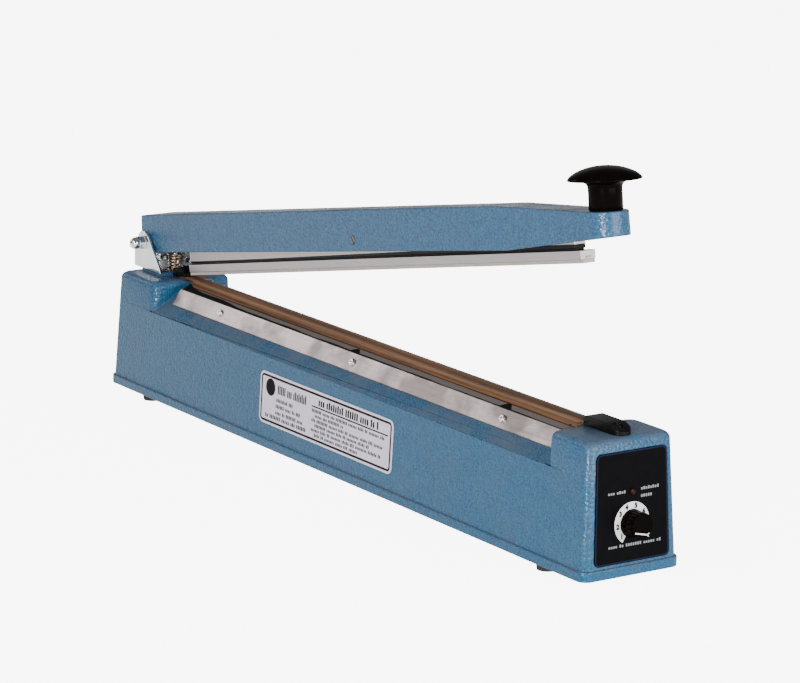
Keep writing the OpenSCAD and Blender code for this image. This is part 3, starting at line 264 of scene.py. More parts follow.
@dataclass(frozen=True)
class Finish:
    """One finish: its colours, gloss and grain. Lengths are in millimetres."""

    name: str
    colour: Colour
    shade: Colour
    roughness: float
    spread: float = 0.05
    metallic: float = 0.0
    grain: Grain = Grain.FINE
    scale: float = 900.0
    stretch: Triple = (1.0, 1.0, 1.0)
    turn: float = 0.0
    relief: float = 0.05
    strength: float = 0.25
    worn: Colour = (0.5, 0.5, 0.5)
    wear: float = 0.0
    soft: float = 0.3
    # Share of the grey layer: settled dirt on most finishes, mostly a painted sheen on the casing and arm tops.
    dust: float = 0.12
    film: Colour = (0.45, 0.44, 0.42)
    dull: float = 0.5
    specular: float = 0.5
    dents: float = 0.0
    dent_stretch: Triple = (14.0, 60.0, 60.0)
    cloud: float = 0.0
    cloud_range: Pair = (0.42, 0.6)

    def colours(self, bench: NodeBench, place: Socket, tone: Socket) -> Socket:
        """Colour before the dirt-and-sheen layer and the wear.

        Args:
            bench: The material's bench.
            place: Object coordinates.
            tone: The grain's tone.

        Returns:
            The colour.
        """
        if self.cloud > 0.0:
            patch = bench.spread(bench.noise(place, 26.0, rough=0.6), *self.cloud_range)
            tone = bench.weigh((tone, 1.0 - self.cloud), (patch, self.cloud))
        return bench.blend(tone, self.colour, self.shade)

    def build(self, shelf: GroupShelf) -> bpy.types.Material:
        """Builds the material.

        Args:
            shelf: The shared groups.

        Returns:
            The material.
        """
        material = bpy.data.materials.new(self.name)
        material.use_nodes = True
        material.node_tree.nodes.clear()
        bench = NodeBench(material.node_tree)
        place = bench.add("ShaderNodeTexCoord").outputs["Object"]
        grain = shelf.place(bench, self.grain.value, Vector=bench.mapped(place, self.stretch, self.turn),
                            Scale=self.scale)
        edges = shelf.place(bench, "edge_wear", Radius=self.soft * MM, Vector=place)
        film = shelf.place(bench, "dust_and_sheen_film", Vector=place)
        # Grey layer on up-facing faces: real dirt, and on the paint a painted reflection that greys the tops.
        dust_and_sheen_mask = bench.maths("MULTIPLY", film["Mask"], self.dust)
        colour = bench.blend(dust_and_sheen_mask, self.colours(bench, place, grain["Tone"]), self.film)
        if self.wear > 0.0:
            colour = bench.blend(bench.maths("MULTIPLY", edges["Mask"], self.wear), colour, self.worn)
        rough = bench.spread(grain["Tone"], 0.0, 1.0, self.roughness - self.spread, self.roughness + self.spread)
        rough = bench.maths("ADD", rough, bench.maths("MULTIPLY", dust_and_sheen_mask, self.dull), clamp=True)
        normal = bench.bump(self.strength, self.relief, grain["Height"], edges["Normal"])
        if self.dents > 0.0:
            wide = bench.noise(bench.mapped(place, self.dent_stretch), 1.5, 2.0)
            normal = bench.bump(0.5, self.dents, wide, normal)
        shader = bench.add("ShaderNodeBsdfPrincipled", {
            "Base Color": colour, "Roughness": rough, "Normal": normal, "Metallic": self.metallic,
            "Specular IOR Level": self.specular})
        bench.add("ShaderNodeOutputMaterial", {"Surface": shader.outputs[0]})
        return material


@dataclass(frozen=True)
class SheetFinish(Finish):
    """Brown non-stick sheet: scorched streaks on the crown, with painted light on it: painted highlights on the crown,
    grey painted shade on the flanks and painted shadow lines at the crown's edge and above the strips.
    """

    # Painted shade: the grey stands for the same brown sheet where it turns down away from the light.
    flank: Colour = (0.115, 0.096, 0.088)
    streak: Colour = (0.24, 0.105, 0.045)
    streak_stretch: Triple = (3.0, 150.0, 60.0)
    streak_range: Pair = (0.44, 0.62)
    # Painted highlight: a lighter streak along the near half of the crown.
    sheen: Colour = (0.27, 0.170, 0.112)
    sheen_at: Pair = (6.6, 3.4)
    sheen_share: Pair = (0.45, 0.95)
    # Painted shadow: the line colour with the widths, stations and spots below draws dark shadow lines at the crown's
    # edge and above the strips.
    line: Colour = (0.0015, 0.0015, 0.0015)
    line_w: float = 0.7
    crown_half: float = 11.8
    strip_top: float = 17.3
    gap: Triple = (7.0, 2.1, 1.0)
    stations: Triple = (-262.0, -130.0, 150.0)
    pinches: Pair = (1.5, 190.0)
    pinch: Pair = (10.0, 4.4)
    # Painted highlight: the crown's back half lighter and greyer.
    far: Colour = (0.22, 0.165, 0.125)
    far_from: Pair = (1.0, 7.0)
    far_share: float = 0.75

    def colours(self, bench: NodeBench, place: Socket, tone: Socket) -> Socket:
        """Streaks along the crown with painted highlights, painted shade on the flanks and painted shadow lines.

        Args:
            bench: The material's bench.
            place: Object coordinates.
            tone: The grain's tone.

        Returns:
            The colour.
        """
        x, y, _ = bench.split(bench.mapped(place, IN_MM))
        side = bench.maths("ABSOLUTE", y)
        streak = bench.spread(bench.noise(bench.mapped(place, self.streak_stretch), 1.6, 5.0, 0.66),
                              *self.streak_range)
        brown = bench.blend(streak, bench.blend(tone, self.colour, self.shade), self.streak)
        # Painted highlight along the near half of the crown, broken up by the streaks.
        off = bench.maths("ABSOLUTE", bench.maths("SUBTRACT", side, self.sheen_at[0]))
        painted_sheen = bench.maths("MULTIPLY", bench.spread(off, self.sheen_at[1], 0.0, smooth=True),
                             bench.spread(streak, 0.0, 1.0, *self.sheen_share))
        brown = bench.blend(painted_sheen, brown, self.sheen)
        # Painted highlight: the crown lighter and greyer towards its back edge.
        brown = bench.blend(bench.spread(y, *self.far_from, 0.0, self.far_share, smooth=True), brown, self.far)
        edge, half = self.crown_half, 0.2
        # Painted shade: the flanks darker and greyer than the crown.
        body = bench.blend(bench.spread(side, edge, edge + 0.3, smooth=True), brown, self.flank)
        # Painted shadow: a thin dark line where the crown turns down to the flanks.
        edge_shadow = bench.maths("MULTIPLY", bench.spread(side, edge - half, edge + half),
                           bench.spread(side, edge + self.line_w + half, edge + self.line_w - half))
        # Painted shadow above each strip's upper edge: widest at the rear and at two spots by the screws, narrow
        # towards the front.
        rear, middle, front = self.stations
        width = bench.maths("MAXIMUM", bench.spread(x, rear, middle, self.gap[0], 0.0),
                            bench.spread(x, rear, front, *self.gap[1:]))
        for spot in self.pinches:
            off = bench.maths("ABSOLUTE", bench.maths("SUBTRACT", x, spot))
            width = bench.maths("MAXIMUM", width, bench.spread(off, self.pinch[0], 0.0, 0.0, self.pinch[1],
                                                               smooth=True))
        ragged = bench.maths("MULTIPLY", width, bench.spread(bench.noise(place, 22.0), 0.35, 0.65, 0.7, 1.3))
        start = bench.maths("SUBTRACT", self.strip_top, ragged)
        gap_shadow = bench.spread(side, start, bench.maths("ADD", start, 2 * half))
        return bench.blend(bench.maths("MAXIMUM", edge_shadow, gap_shadow), body, self.line)


@dataclass(frozen=True)
class BarFinish(Finish):
    """Extruded metal with a painted shadow: a black band along the neck above the flange."""

    turn: float = 11.35
    band: Pair = (158.2, 160.9)
    rise: float = 1.7
    rise_from: Pair = (-120.0, 150.0)
    blur: float = 0.25
    # Painted shadow: the black of the band along the neck.
    line: Colour = (0.003, 0.003, 0.004)

    def colours(self, bench: NodeBench, place: Socket, tone: Socket) -> Socket:
        """Metal with the painted shadow band.

        Args:
            bench: The material's bench.
            place: Object coordinates.
            tone: The grain's tone.

        Returns:
            The colour.
        """
        x, _, z = bench.split(bench.mapped(place, IN_MM, self.turn))
        # Painted shadow where the neck is shaded by the flange and the arm, taller towards the front.
        low, high = self.band
        top = bench.spread(x, *self.rise_from, high, high + self.rise)
        band = bench.maths("MULTIPLY", bench.spread(z, low, low + self.blur),
                           bench.spread(bench.maths("SUBTRACT", z, top), self.blur, 0.0))
        return bench.blend(band, bench.blend(tone, self.colour, self.shade), self.line)


# On the paint the grey layer is mostly a painted sheen on faces that look up.
PAINT = dict(colour=(0.01, 0.05, 0.115), shade=(0.048, 0.15, 0.275), roughness=0.17, grain=Grain.HAMMER, scale=480.0,
             relief=0.36, strength=0.6, worn=(0.42, 0.5, 0.56), wear=0.2, soft=0.5, dust=0.5,
             film=(0.075, 0.062, 0.06), specular=0.25)
ALONG = (0.03, 1.0, 1.0)
FINISHES = (
    Finish("casing", **PAINT | dict(
        colour=(0.002, 0.043, 0.104), shade=(0.019, 0.134, 0.26), dust=0.6, film=(0.155, 0.128, 0.128))),
    Finish("arm_paint", turn=10.3, **PAINT),
    Finish("sheet_steel", (0.42, 0.42, 0.43), (0.56, 0.56, 0.57), 0.38, 0.08, 1.0, scale=500.0, relief=0.03),
    Finish("plated", (0.6, 0.59, 0.58), (0.78, 0.77, 0.76), 0.18, 0.06, 1.0, scale=1200.0, relief=0.02, soft=0.15),
    Finish("chrome", (0.74, 0.74, 0.76), (0.92, 0.92, 0.94), 0.09, 0.04, 1.0, scale=500.0, relief=0.04, soft=0.4,
           dust=0.04),
    Finish("rubber", (0.01, 0.01, 0.011), (0.026, 0.026, 0.027), 0.78, 0.08, scale=1500.0, relief=0.12,
           strength=0.4, dust=0.25, specular=0.3),
    Finish("bed", (0.07, 0.06, 0.048), (0.12, 0.1, 0.08), 0.55, 0.08, scale=700.0, relief=0.06),
    Finish("ribbon", (0.33, 0.31, 0.29), (0.46, 0.44, 0.41), 0.35, 0.08, 1.0, scale=600.0, stretch=(0.05, 1.0, 1.0)),
    SheetFinish("cover_sheet", (0.055, 0.026, 0.013), (0.11, 0.058, 0.033), 0.5, 0.08, grain=Grain.WOVEN,
                scale=950.0, relief=0.03, soft=0.1, dust=0.008, specular=0.08),
    Finish("strips", (0.15, 0.118, 0.118), (0.54, 0.465, 0.458), 0.3, 0.08, 0.9, stretch=ALONG, relief=0.02,
           soft=0.25, dust=0.03, dents=1.6, cloud=0.6),
    Finish("insulator", (0.1, 0.045, 0.022), (0.16, 0.075, 0.038), 0.5, scale=700.0),
    Finish("brass", (0.55, 0.38, 0.14), (0.7, 0.51, 0.22), 0.28, 0.08, 1.0, scale=800.0),
    Finish("black_plastic", (0.0015, 0.0015, 0.002), (0.004, 0.004, 0.0046), 0.3, 0.07, scale=1600.0,
           strength=0.3, wear=0.25, worn=(0.03, 0.03, 0.032), soft=0.35, dust=0.002, specular=0.13),
    Finish("panel", (0.0008, 0.0008, 0.0012), (0.002, 0.002, 0.0026), 0.34, scale=1300.0, relief=0.02,
           soft=0.2, dust=0.002, specular=0.04),
    Finish("label", (0.7, 0.64, 0.74), (0.8, 0.74, 0.84), 0.42, scale=240.0, relief=0.01, soft=0.2, dust=0.03,
           specular=0.2),
    Finish("lamp", (0.009, 0.0006, 0.0006), (0.019, 0.0016, 0.0012), 0.15, 0.03, relief=0.02, soft=0.1,
           dust=0.003, specular=0.12),
    Finish("pot_body", (0.3, 0.31, 0.3), (0.42, 0.43, 0.42), 0.4, 0.06, 1.0, scale=600.0),
    Finish("dark_steel", (0.1, 0.1, 0.105), (0.2, 0.2, 0.205), 0.35, 0.06, 1.0, scale=600.0),
    Finish("board", (0.012, 0.085, 0.03), (0.025, 0.13, 0.05), 0.42, 0.06, scale=500.0),
    Finish("board_parts", (0.02, 0.055, 0.2), (0.04, 0.09, 0.28), 0.4, 0.06, scale=400.0),
    Finish("core", (0.07, 0.065, 0.06), (0.13, 0.12, 0.11), 0.5, 0.08, 0.7, stretch=(1.0, 12.0, 1.0)),
    Finish("coil", (0.45, 0.26, 0.05), (0.6, 0.36, 0.09), 0.4, 0.06, scale=500.0, stretch=(1.0, 1.0, 6.0)),
    Finish("switch_body", (0.015, 0.015, 0.016), (0.028, 0.028, 0.03), 0.45, 0.06, scale=1200.0),
    Finish("knob", (0.0018, 0.001, 0.0008), (0.0036, 0.0022, 0.0018), 0.2, scale=500.0, relief=0.03, strength=0.12,
           dust=0.001, specular=0.02),
    BarFinish("bar", (0.39, 0.35, 0.355), (0.5, 0.455, 0.46), 0.34, 0.07, 0.9, stretch=ALONG, relief=0.03,
              soft=0.25, dust=0.05),
    Finish("silicone", (0.36, 0.32, 0.3), (0.46, 0.42, 0.39), 0.6, 0.06, scale=600.0, relief=0.04),
    Finish("spring", (0.42, 0.28, 0.17), (0.62, 0.45, 0.3), 0.28, 0.08, 1.0, relief=0.03),
    Finish("button", (0.3, 0.02, 0.02), (0.42, 0.04, 0.04), 0.45, scale=800.0),
    Finish("print_white", (0.82, 0.82, 0.83), (0.9, 0.9, 0.91), 0.48, 0.06, relief=0.01, dust=0.01),
    Finish("print_grey", (0.2, 0.2, 0.21), (0.3, 0.3, 0.31), 0.48, 0.06, relief=0.01, dust=0.01),
    Finish("print_black", (0.0015, 0.0013, 0.002), (0.004, 0.0036, 0.005), 0.45, 0.06, relief=0.01, dust=0.003,
           specular=0.05),
    Finish("print_blue", (0.003, 0.006, 0.024), (0.005, 0.01, 0.04), 0.4, 0.06, relief=0.01, dust=0.004,
           specular=0.1),
)


def stand(name: str, data: bpy.types.ID) -> bpy.types.Object:
    """Puts an object with this data into the scene.

    Args:
        name: The object's name.
        data: Its mesh, lamp or camera.

    Returns:
        The object.
    """
    thing = bpy.data.objects.new(name, data)
    bpy.context.scene.collection.objects.link(thing)
    return thing


class Catalogue:
    """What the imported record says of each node, and the finished materials."""

    def __init__(self) -> None:
        """Reads the record and builds the materials."""
        record = frame["record"]
        self.slots = {part["node"]: part["material_slot"] for part in record["subparts"]}
        self.bodies = {node: body for body, nodes in record["behaviour"]["bodies"].items() for node in nodes}
        shelf = GroupShelf()
        self.materials = {finish.name: finish.build(shelf) for finish in FINISHES}

    def paint(self, node: str) -> None:
        """Gives a CAD node the finish of its slot.

        Args:
            node: The node's name.
        """
        materials = frame["nodes"][node].data.materials
        materials.clear()
        materials.append(self.materials[self.slots[node]])
        log.info("%s keeps its shape, finish %s", node, self.slots[node])

    def hand_in(self, bm: bmesh.types.BMesh, name: str, body: str, slot: str, finish: str = "",
                stands_for: tuple[str, ...] = (), crease: float = CREASE) -> bpy.types.Object:
        """Makes a bmesh a finished piece that rides on a body.

        Args:
            bm: The shape, in the row frame.
            name: The piece's name.
            body: The body that it rides on.
            slot: The record's material slot.
            finish: The finish's name, or nothing for that of its slot.
            stands_for: The CAD nodes that it replaces.
            crease: Angle in degrees from which an edge stays sharp.

        Returns:
            The piece.
        """
        for face in bm.faces:
            face.smooth = True
        for edge in bm.edges:
            edge.smooth = len(edge.link_faces) == 2 and edge.calc_face_angle(0.0) < math.radians(crease)
        mesh = bpy.data.meshes.new(name)
        bm.to_mesh(mesh)
        bm.free()
        mesh.materials.append(self.materials[finish or slot])
        piece = stand(name, mesh)
        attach(piece, body)
        if stands_for:
            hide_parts(*stands_for)
        log.info("%s rides on %s, %d faces", name, body, len(mesh.polygons))
        return piece

    def soften(self, node: str, edge: float = 0.0, finish: str = "", weld: float = 0.001) -> None:
        """Puts a merged copy with rounded edges in a CAD node's place.

        Args:
            node: The node's name.
            edge: Width of the rounding in millimetres, 0 for none.
            finish: The finish's name, or nothing for that of its slot.
            weld: Distance in millimetres below which corners become one.
        """
        bm = bmesh.new()
        bm.from_mesh(frame["nodes"][node].data)
        bmesh.ops.remove_doubles(bm, verts=bm.verts, dist=weld * MM)
        bmesh.ops.dissolve_limit(bm, angle_limit=math.radians(0.15), verts=bm.verts, edges=bm.edges)
        piece = self.hand_in(bm, f"{node}_finished", self.bodies[node], self.slots[node], finish, (node,))
        if edge > 0.0:
            rounding = piece.modifiers.new("rounding", "BEVEL")
            rounding.width, rounding.segments = edge * MM, 2
            rounding.limit_method, rounding.angle_limit = "ANGLE", math.radians(CREASE)
            rounding.use_clamp_overlap, rounding.harden_normals = False, True
            rounding.miter_outer = "MITER_ARC"

    def dress(self, softened: dict[str, float], painted: tuple[str, ...] = ()) -> None:
        """Softens some CAD nodes and paints others.

        Args:
            softened: The width of each softened node's rounding, in millimetres.
            painted: The nodes that keep their shape.
        """
        for node, edge in softened.items():
            self.soften(node, edge)
        for node in painted:
            self.paint(node)


class Shapes:
    """Small shapes that several sub-assemblies share, all in millimetres until they are placed."""

    @staticmethod
    def thicken(bm: bmesh.types.BMesh, levels: Pair) -> None:
        """Gives flat faces a thickness.

        Args:
            bm: The flat shape.
            levels: Heights of its underside and top.
        """
        bmesh.ops.translate(bm, verts=bm.verts, vec=(0.0, 0.0, levels[0]))
        made = bmesh.ops.extrude_face_region(bm, geom=bm.faces[:])
        bmesh.ops.translate(bm, verts=[v for v in made["geom"] if isinstance(v, bmesh.types.BMVert)],
                            vec=(0.0, 0.0, levels[1] - levels[0]))
        bmesh.ops.recalc_face_normals(bm, faces=bm.faces)

    @staticmethod
    def ring(corners: list[Pair], radius: float, inset: float, width: float, levels: Pair) -> bmesh.types.BMesh:
        """A raised line inside an outline.

        Args:
            corners: The outline's corners, anticlockwise.
            radius: Radius of its corners.
            inset: Distance of the line from the outline.
            width: Width of the line.
            levels: Heights of its underside and top.

        Returns:
            The line.
        """
        bm = bmesh.new()
        bm.faces.new([bm.verts.new((u, v, 0.0)) for u, v in corners])
        bmesh.ops.bevel(bm, geom=bm.verts[:], offset=radius, offset_type="OFFSET", segments=6, profile=0.5,
                        affect="VERTICES", material=-1)
        kept: set[bmesh.types.BMFace] = set()
        for step in (inset, width):
            inner = [f for f in bm.faces if f not in kept]
            kept = set(bmesh.ops.inset_region(bm, faces=inner, thickness=step, use_boundary=True,
                                              use_even_offset=True)["faces"])
        bmesh.ops.delete(bm, geom=[f for f in bm.faces if f not in kept], context="FACES")
        Shapes.thicken(bm, levels)
        return bm

    @staticmethod
    def bar(target: bmesh.types.BMesh, low: Pair, high: Pair, levels: Pair) -> None:
        """Adds a thin bar.

        Args:
            target: The shape that the bar joins.
            low: Its lower left corner.
            high: Its upper right corner.
            levels: Heights of its underside and top.
        """
        start, end = Vector((*low, levels[0])), Vector((*high, levels[1]))
        size = Matrix.Diagonal((*(end - start), 1.0))
        bmesh.ops.create_cube(target, size=1.0, matrix=Matrix.Translation((start + end) / 2) @ size)

    @staticmethod
    def row(target: bmesh.types.BMesh, span: Pair, middle: float, tall: float, cell: float, levels: Pair, seed: int
            ) -> None:
        """Adds one row of small blocks of uneven height, grouped like words but with no letters.

        Args:
            target: The shape that the blocks join.
            span: Where the row starts and ends.
            middle: Height of its middle.
            tall: Height of its tallest blocks.
            cell: Width of a block with its gap.
            levels: Heights of the blocks' underside and top.
            seed: Which groups the row has.
        """
        reach, group, low = span[0], seed, middle - tall / 2
        while reach < span[1] - cell:
            for place in range(2 + (group * 5 + 3) % 7):
                if reach > span[1] - cell:
                    break
                share = (1.0, 0.78, 0.78, 0.96, 0.76, 1.0)[(place * 3 + group) % 6]
                Shapes.bar(target, (reach, low), (reach + cell * 0.68, low + tall * share), levels)
                reach += cell
            reach, group = reach + cell * 0.75, group + 1

    @staticmethod
    def place(bm: bmesh.types.BMesh, where: Matrix) -> bmesh.types.BMesh:
        """Turns millimetres into metres and moves the shape to its place in the row frame."""
        bmesh.ops.transform(bm, matrix=where @ Matrix.Scale(MM, 4), verts=bm.verts)
        return bm


@dataclass
class Casing:
    """The die-cast casing with its floor, feet and cord gland. Lengths are in millimetres."""

    book: Catalogue
    half_l: float = 320.0
    half_w: float = 41.0
    skirt_proud: float = 1.9
    skirt_h: float = 7.2
    lean: float = 0.049
    foot_h: float = 5.0

    def __post_init__(self) -> None:
        """Finds the casing's middle along X, in millimetres."""
        low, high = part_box("base_casing")
        self.middle = (low[0] + high[0]) / 2 / MM

    def _on_wall(self, half: float, turn: float, height: float) -> Matrix:
        """Frame in the middle of a leaning wall: across, up the slope, outward.

        Args:
            half: Distance of the skirt from the casing's middle.
            turn: Turn from the front wall, in degrees.
            height: Height above the skirt's lower edge.

        Returns:
            The frame, in metres.
        """
        reach = half - self.skirt_proud - self.lean * (height - self.skirt_h)
        spot = Matrix.Translation(Vector((reach, 0.0, height + self.foot_h)) * MM)
        return (Matrix.Translation((self.middle * MM, 0.0, 0.0)) @ Matrix.Rotation(math.radians(turn), 4, "Z") @ spot
                @ Matrix.Rotation(-math.atan(self.lean), 4, "Y")
                @ Matrix(((0, 0, 1, 0), (1, 0, 0, 0), (0, 1, 0, 0), (0, 0, 0, 1))))

    def on_front(self, height: float) -> Matrix:
        """Frame on the front, at this height."""
        return self._on_wall(self.half_l, 0.0, height)

    def on_side(self, height: float) -> Matrix:
        """Frame on the near side, at this height."""
        return self._on_wall(self.half_w, -90.0, height)

    def build(self) -> None:
        """Softens and dresses the casing's nodes."""
        self.book.soften("base_casing", 0.6, weld=0.04)
        self.book.dress({"base_plate": 0.0, "base_screws": 0.0, "rubber_feet": 0.4, "foot_screws": 0.0,
                         "cord_gland": 0.3})


@dataclass
class HeaterDeck:
    """The heater bed with its sheet, strips, terminals and terminal covers."""

    book: Catalogue

    def build(self) -> None:
        """Softens and dresses the deck's nodes."""
        self.book.dress({"heater_bed": 0.0, "cover_sheet": 0.0, "near_clamp_strip": 0.25, "far_clamp_strip": 0.25,
                         "strip_screws": 0.0, "front_terminal_cover": 0.3, "rear_terminal_cover": 0.3,
                         "cover_screws": 0.0},
                        ("bed_screws", "heating_ribbon", "terminal_insulators", "terminals", "terminal_nuts"))


@dataclass
class ControlEnd:
    """The control plate with its printed rim, dial, lamp and timer knob. Lengths are in millimetres."""

    book: Catalogue
    casing: Casing
    plate_low_h: float = 9.0
    plate_h: float = 75.5
    low_half: float = 31.0
    top_half: float = 29.0
    corner: float = 4.0
    plate_t: float = 0.8
    print_t: float = 0.04
    dial_h: float = 35.1
    knob_out: float = 13.2
    band: Pair = (9.6, 14.5)
    band_turn: Pair = (11.0, 237.0)
    numeral_r: float = 11.9
    numeral_angles: tuple[float, ...] = (224.0, 186.0, 143.0, 112.0, 74.0, 35.0)
    numeral_size: float = 4.6
    numeral_bold: float = 0.3
    rows: tuple[tuple[float, ...], ...] = ((-19.6, -4.4, 48.0, 1.9), (7.4, 24.2, 48.6, 2.1), (7.4, 17.6, 43.6, 2.0),
                                           (-19.4, 25.2, 12.0, 2.0))
    row_cell: float = 1.9
    rim_inset: float = 0.5
    rim_w: float = 0.9
    index: tuple[Pair, Pair] = ((-7.2, -0.5), (3.4, 0.5))
    fork: tuple[Pair, Pair] = ((0.0, -0.4), (1.9, 0.4))
    fork_x: float = 3.0
    fork_turns: Pair = (0.75, -0.55)
    index_y: float = -5.2
    index_turn: float = -13.0

    def __post_init__(self) -> None:
        """Finds the heights of the prints' underside and top."""
        self.levels = (self.plate_t, self.plate_t + self.print_t)

    def _print(self, bm: bmesh.types.BMesh, height: float, name: str, finish: str) -> None:
        """Hands in a print that lies on the plate at this height."""
        self.book.hand_in(Shapes.place(bm, self.casing.on_front(height)), name, "base", "panel", finish)

    def _rim(self) -> None:
        """Prints the thin rim inside the plate's edge."""
        corners = [(-self.low_half, 0.0), (self.low_half, 0.0), (self.top_half, self.plate_h),
                   (-self.top_half, self.plate_h)]
        bm = Shapes.ring(corners, self.corner, self.rim_inset, self.rim_w, self.levels)
        self._print(bm, self.plate_low_h, "plate_rim", "print_blue")

    def _band(self) -> None:
        """Prints the white band of the dial."""
        bm = bmesh.new()
        start, end = (math.radians(turn) for turn in self.band_turn)
        ends = [bm.verts.new((r * math.cos(start), r * math.sin(start), 0.0)) for r in self.band]
        bmesh.ops.spin(bm, geom=[bm.edges.new(ends), *ends], cent=(0, 0, 0), axis=(0, 0, 1), steps=64,
                       angle=end - start)
        Shapes.thicken(bm, self.levels)
        self._print(bm, self.dial_h, "dial_band", "print_white")

    def _numerals(self) -> None:
        """Prints plain numbers on the band."""
        bm = bmesh.new()
        for count, angle in enumerate(self.numeral_angles, 1):
            curve = bpy.data.curves.new("numeral", "FONT")
            curve.body, curve.size, curve.extrude = str(count), self.numeral_size, self.print_t
            curve.offset = self.numeral_bold
            curve.align_x = curve.align_y = "CENTER"
            curve.resolution_u = 3
            holder = bpy.data.objects.new("numeral", curve)
            mesh = bpy.data.meshes.new_from_object(holder)
            turn = math.radians(angle)
            mesh.transform(Matrix.Translation((self.numeral_r * math.cos(turn), self.numeral_r * math.sin(turn),
                                               self.levels[1])))
            bm.from_mesh(mesh)
            bpy.data.objects.remove(holder)
            bpy.data.meshes.remove(mesh)
        self._print(bm, self.dial_h, "dial_numerals", "print_black")

    def _rows(self) -> None:
        """Prints plain rows beside the lamp and under the dial."""
        bm = bmesh.new()
        for seed, (start, end, middle, tall) in enumerate(self.rows, 1):
            Shapes.row(bm, (start, end), middle, tall, self.row_cell, self.levels, seed)
        self._print(bm, self.plate_low_h, "plate_marks", "print_grey")

    def _index(self) -> None:
        """Paints the white index on the timer knob's face."""
        bm = bmesh.new()
        levels = (self.knob_out, self.knob_out + self.print_t)
        Shapes.bar(bm, *self.index, levels)
        for turn in self.fork_turns:
            old = set(bm.verts)
            Shapes.bar(bm, *self.fork, levels)
            bmesh.ops.transform(bm, verts=[v for v in bm.verts if v not in old],
                                matrix=Matrix.Translation((self.fork_x, 0, 0)) @ Matrix.Rotation(turn, 4, "Z"))
        lean = Matrix.Translation((0, self.index_y, 0)) @ Matrix.Rotation(math.radians(self.index_turn), 4, "Z")
        bmesh.ops.transform(bm, matrix=lean, verts=bm.verts)
        self.book.hand_in(Shapes.place(bm, self.casing.on_front(self.dial_h)), "knob_index", "timer",
                          "black_plastic", "print_white")

    def build(self) -> None:
        """Softens, prints and dresses the control end."""
        self.book.dress({"control_plate": 0.2, "indicator_lamp": 0.0},
                        ("potentiometer", "potentiometer_nut", "timer_shaft", "timer_board", "board_parts"))
        self.book.soften("timer_knob", 0.25, "knob")
        self._rim()
        self._band()
        self._numerals()
        self._rows()
        self._index()


@dataclass
class SidePlate:
    """The printed plate on the near side, with plain rows in place of words. Lengths are in millimetres."""

    book: Catalogue
    casing: Casing
    half_l: float = 90.0
    height: float = 39.5
    low_h: float = 18.4
    corner: float = 5.0
    plate_t: float = 0.5
    print_t: float = 0.03
    mark: Triple = (-75.2, 28.8, 6.6)
    headings: tuple[tuple[float, ...], ...] = ((-65.0, -24.0, 29.0, 6.6, 2.3), (-8.5, 73.0, 31.6, 5.6, 2.9))
    left_rows: tuple[tuple[float, ...], ...] = (
        (-66.5, -43.0, 20.8, 2.8, 2.0), (-67.0, -32.0, 16.0, 2.8, 2.0), (-67.0, -28.0, 11.2, 2.8, 2.0),
        (-81.0, -23.0, 6.9, 3.0, 2.2))
    right_rows: tuple[tuple[float, ...], ...] = (
        (-17.0, 81.0, 24.2, 2.5, 1.9), (-12.5, 26.0, 20.6, 2.5, 1.9), (-17.0, 78.0, 17.0, 2.5, 1.9),
        (-12.5, 62.0, 13.4, 2.5, 1.9), (-17.0, 77.0, 9.8, 2.5, 1.9), (-12.5, 46.0, 6.2, 2.5, 1.9))
    rule: tuple[Pair, Pair] = ((-17.5, 26.7), (84.0, 27.8))
    border_inset: float = 1.8
    border_w: float = 1.7

    def __post_init__(self) -> None:
        """Finds the heights of the prints' underside and top."""
        self.levels = (self.plate_t, self.plate_t + self.print_t)

    def _print(self, bm: bmesh.types.BMesh, name: str) -> None:
        """Hands in a black print that lies on the plate."""
        self.book.hand_in(Shapes.place(bm, self.casing.on_side(self.low_h)), name, "base", "label",
                          "print_black")

    def _rows(self) -> None:
        """Prints the two blocks of rows and the line under the right heading."""
        bm = bmesh.new()
        for seed, (start, end, middle, tall, cell) in enumerate(self.headings + self.left_rows + self.right_rows):
            Shapes.row(bm, (start, end), middle, tall, cell, self.levels, seed)
        Shapes.bar(bm, *self.rule, self.levels)
        self._print(bm, "plate_rows")

    def _border(self) -> None:
        """Prints the line round the plate and the round mark."""
        corners = [(-self.half_l, 0.0), (self.half_l, 0.0), (self.half_l, self.height), (-self.half_l, self.height)]
        bm = Shapes.ring(corners, self.corner, self.border_inset, self.border_w, self.levels)
        along, up, radius = self.mark
        bmesh.ops.create_cone(bm, cap_ends=True, segments=48, radius1=radius, radius2=radius, depth=self.print_t,
                              matrix=Matrix.Translation((along, up, sum(self.levels) / 2)))
        self._print(bm, "plate_border")

    def build(self) -> None:
        """Softens and prints the plate."""
        self.book.soften("instruction_plate", 0.15)
        self._border()
        self._rows()


@dataclass
class InnerWorks:
    """The transformer, switch and push rod inside the casing."""

    book: Catalogue

    def build(self) -> None:
        """Dresses the inner nodes."""
        self.book.dress({"push_rod": 0.0, "rod_clip": 0.0},
                        ("transformer_core", "transformer_coil", "transformer_strap", "transformer_screws",
                         "micro_switch", "switch_screws", "switch_lever", "switch_button"))


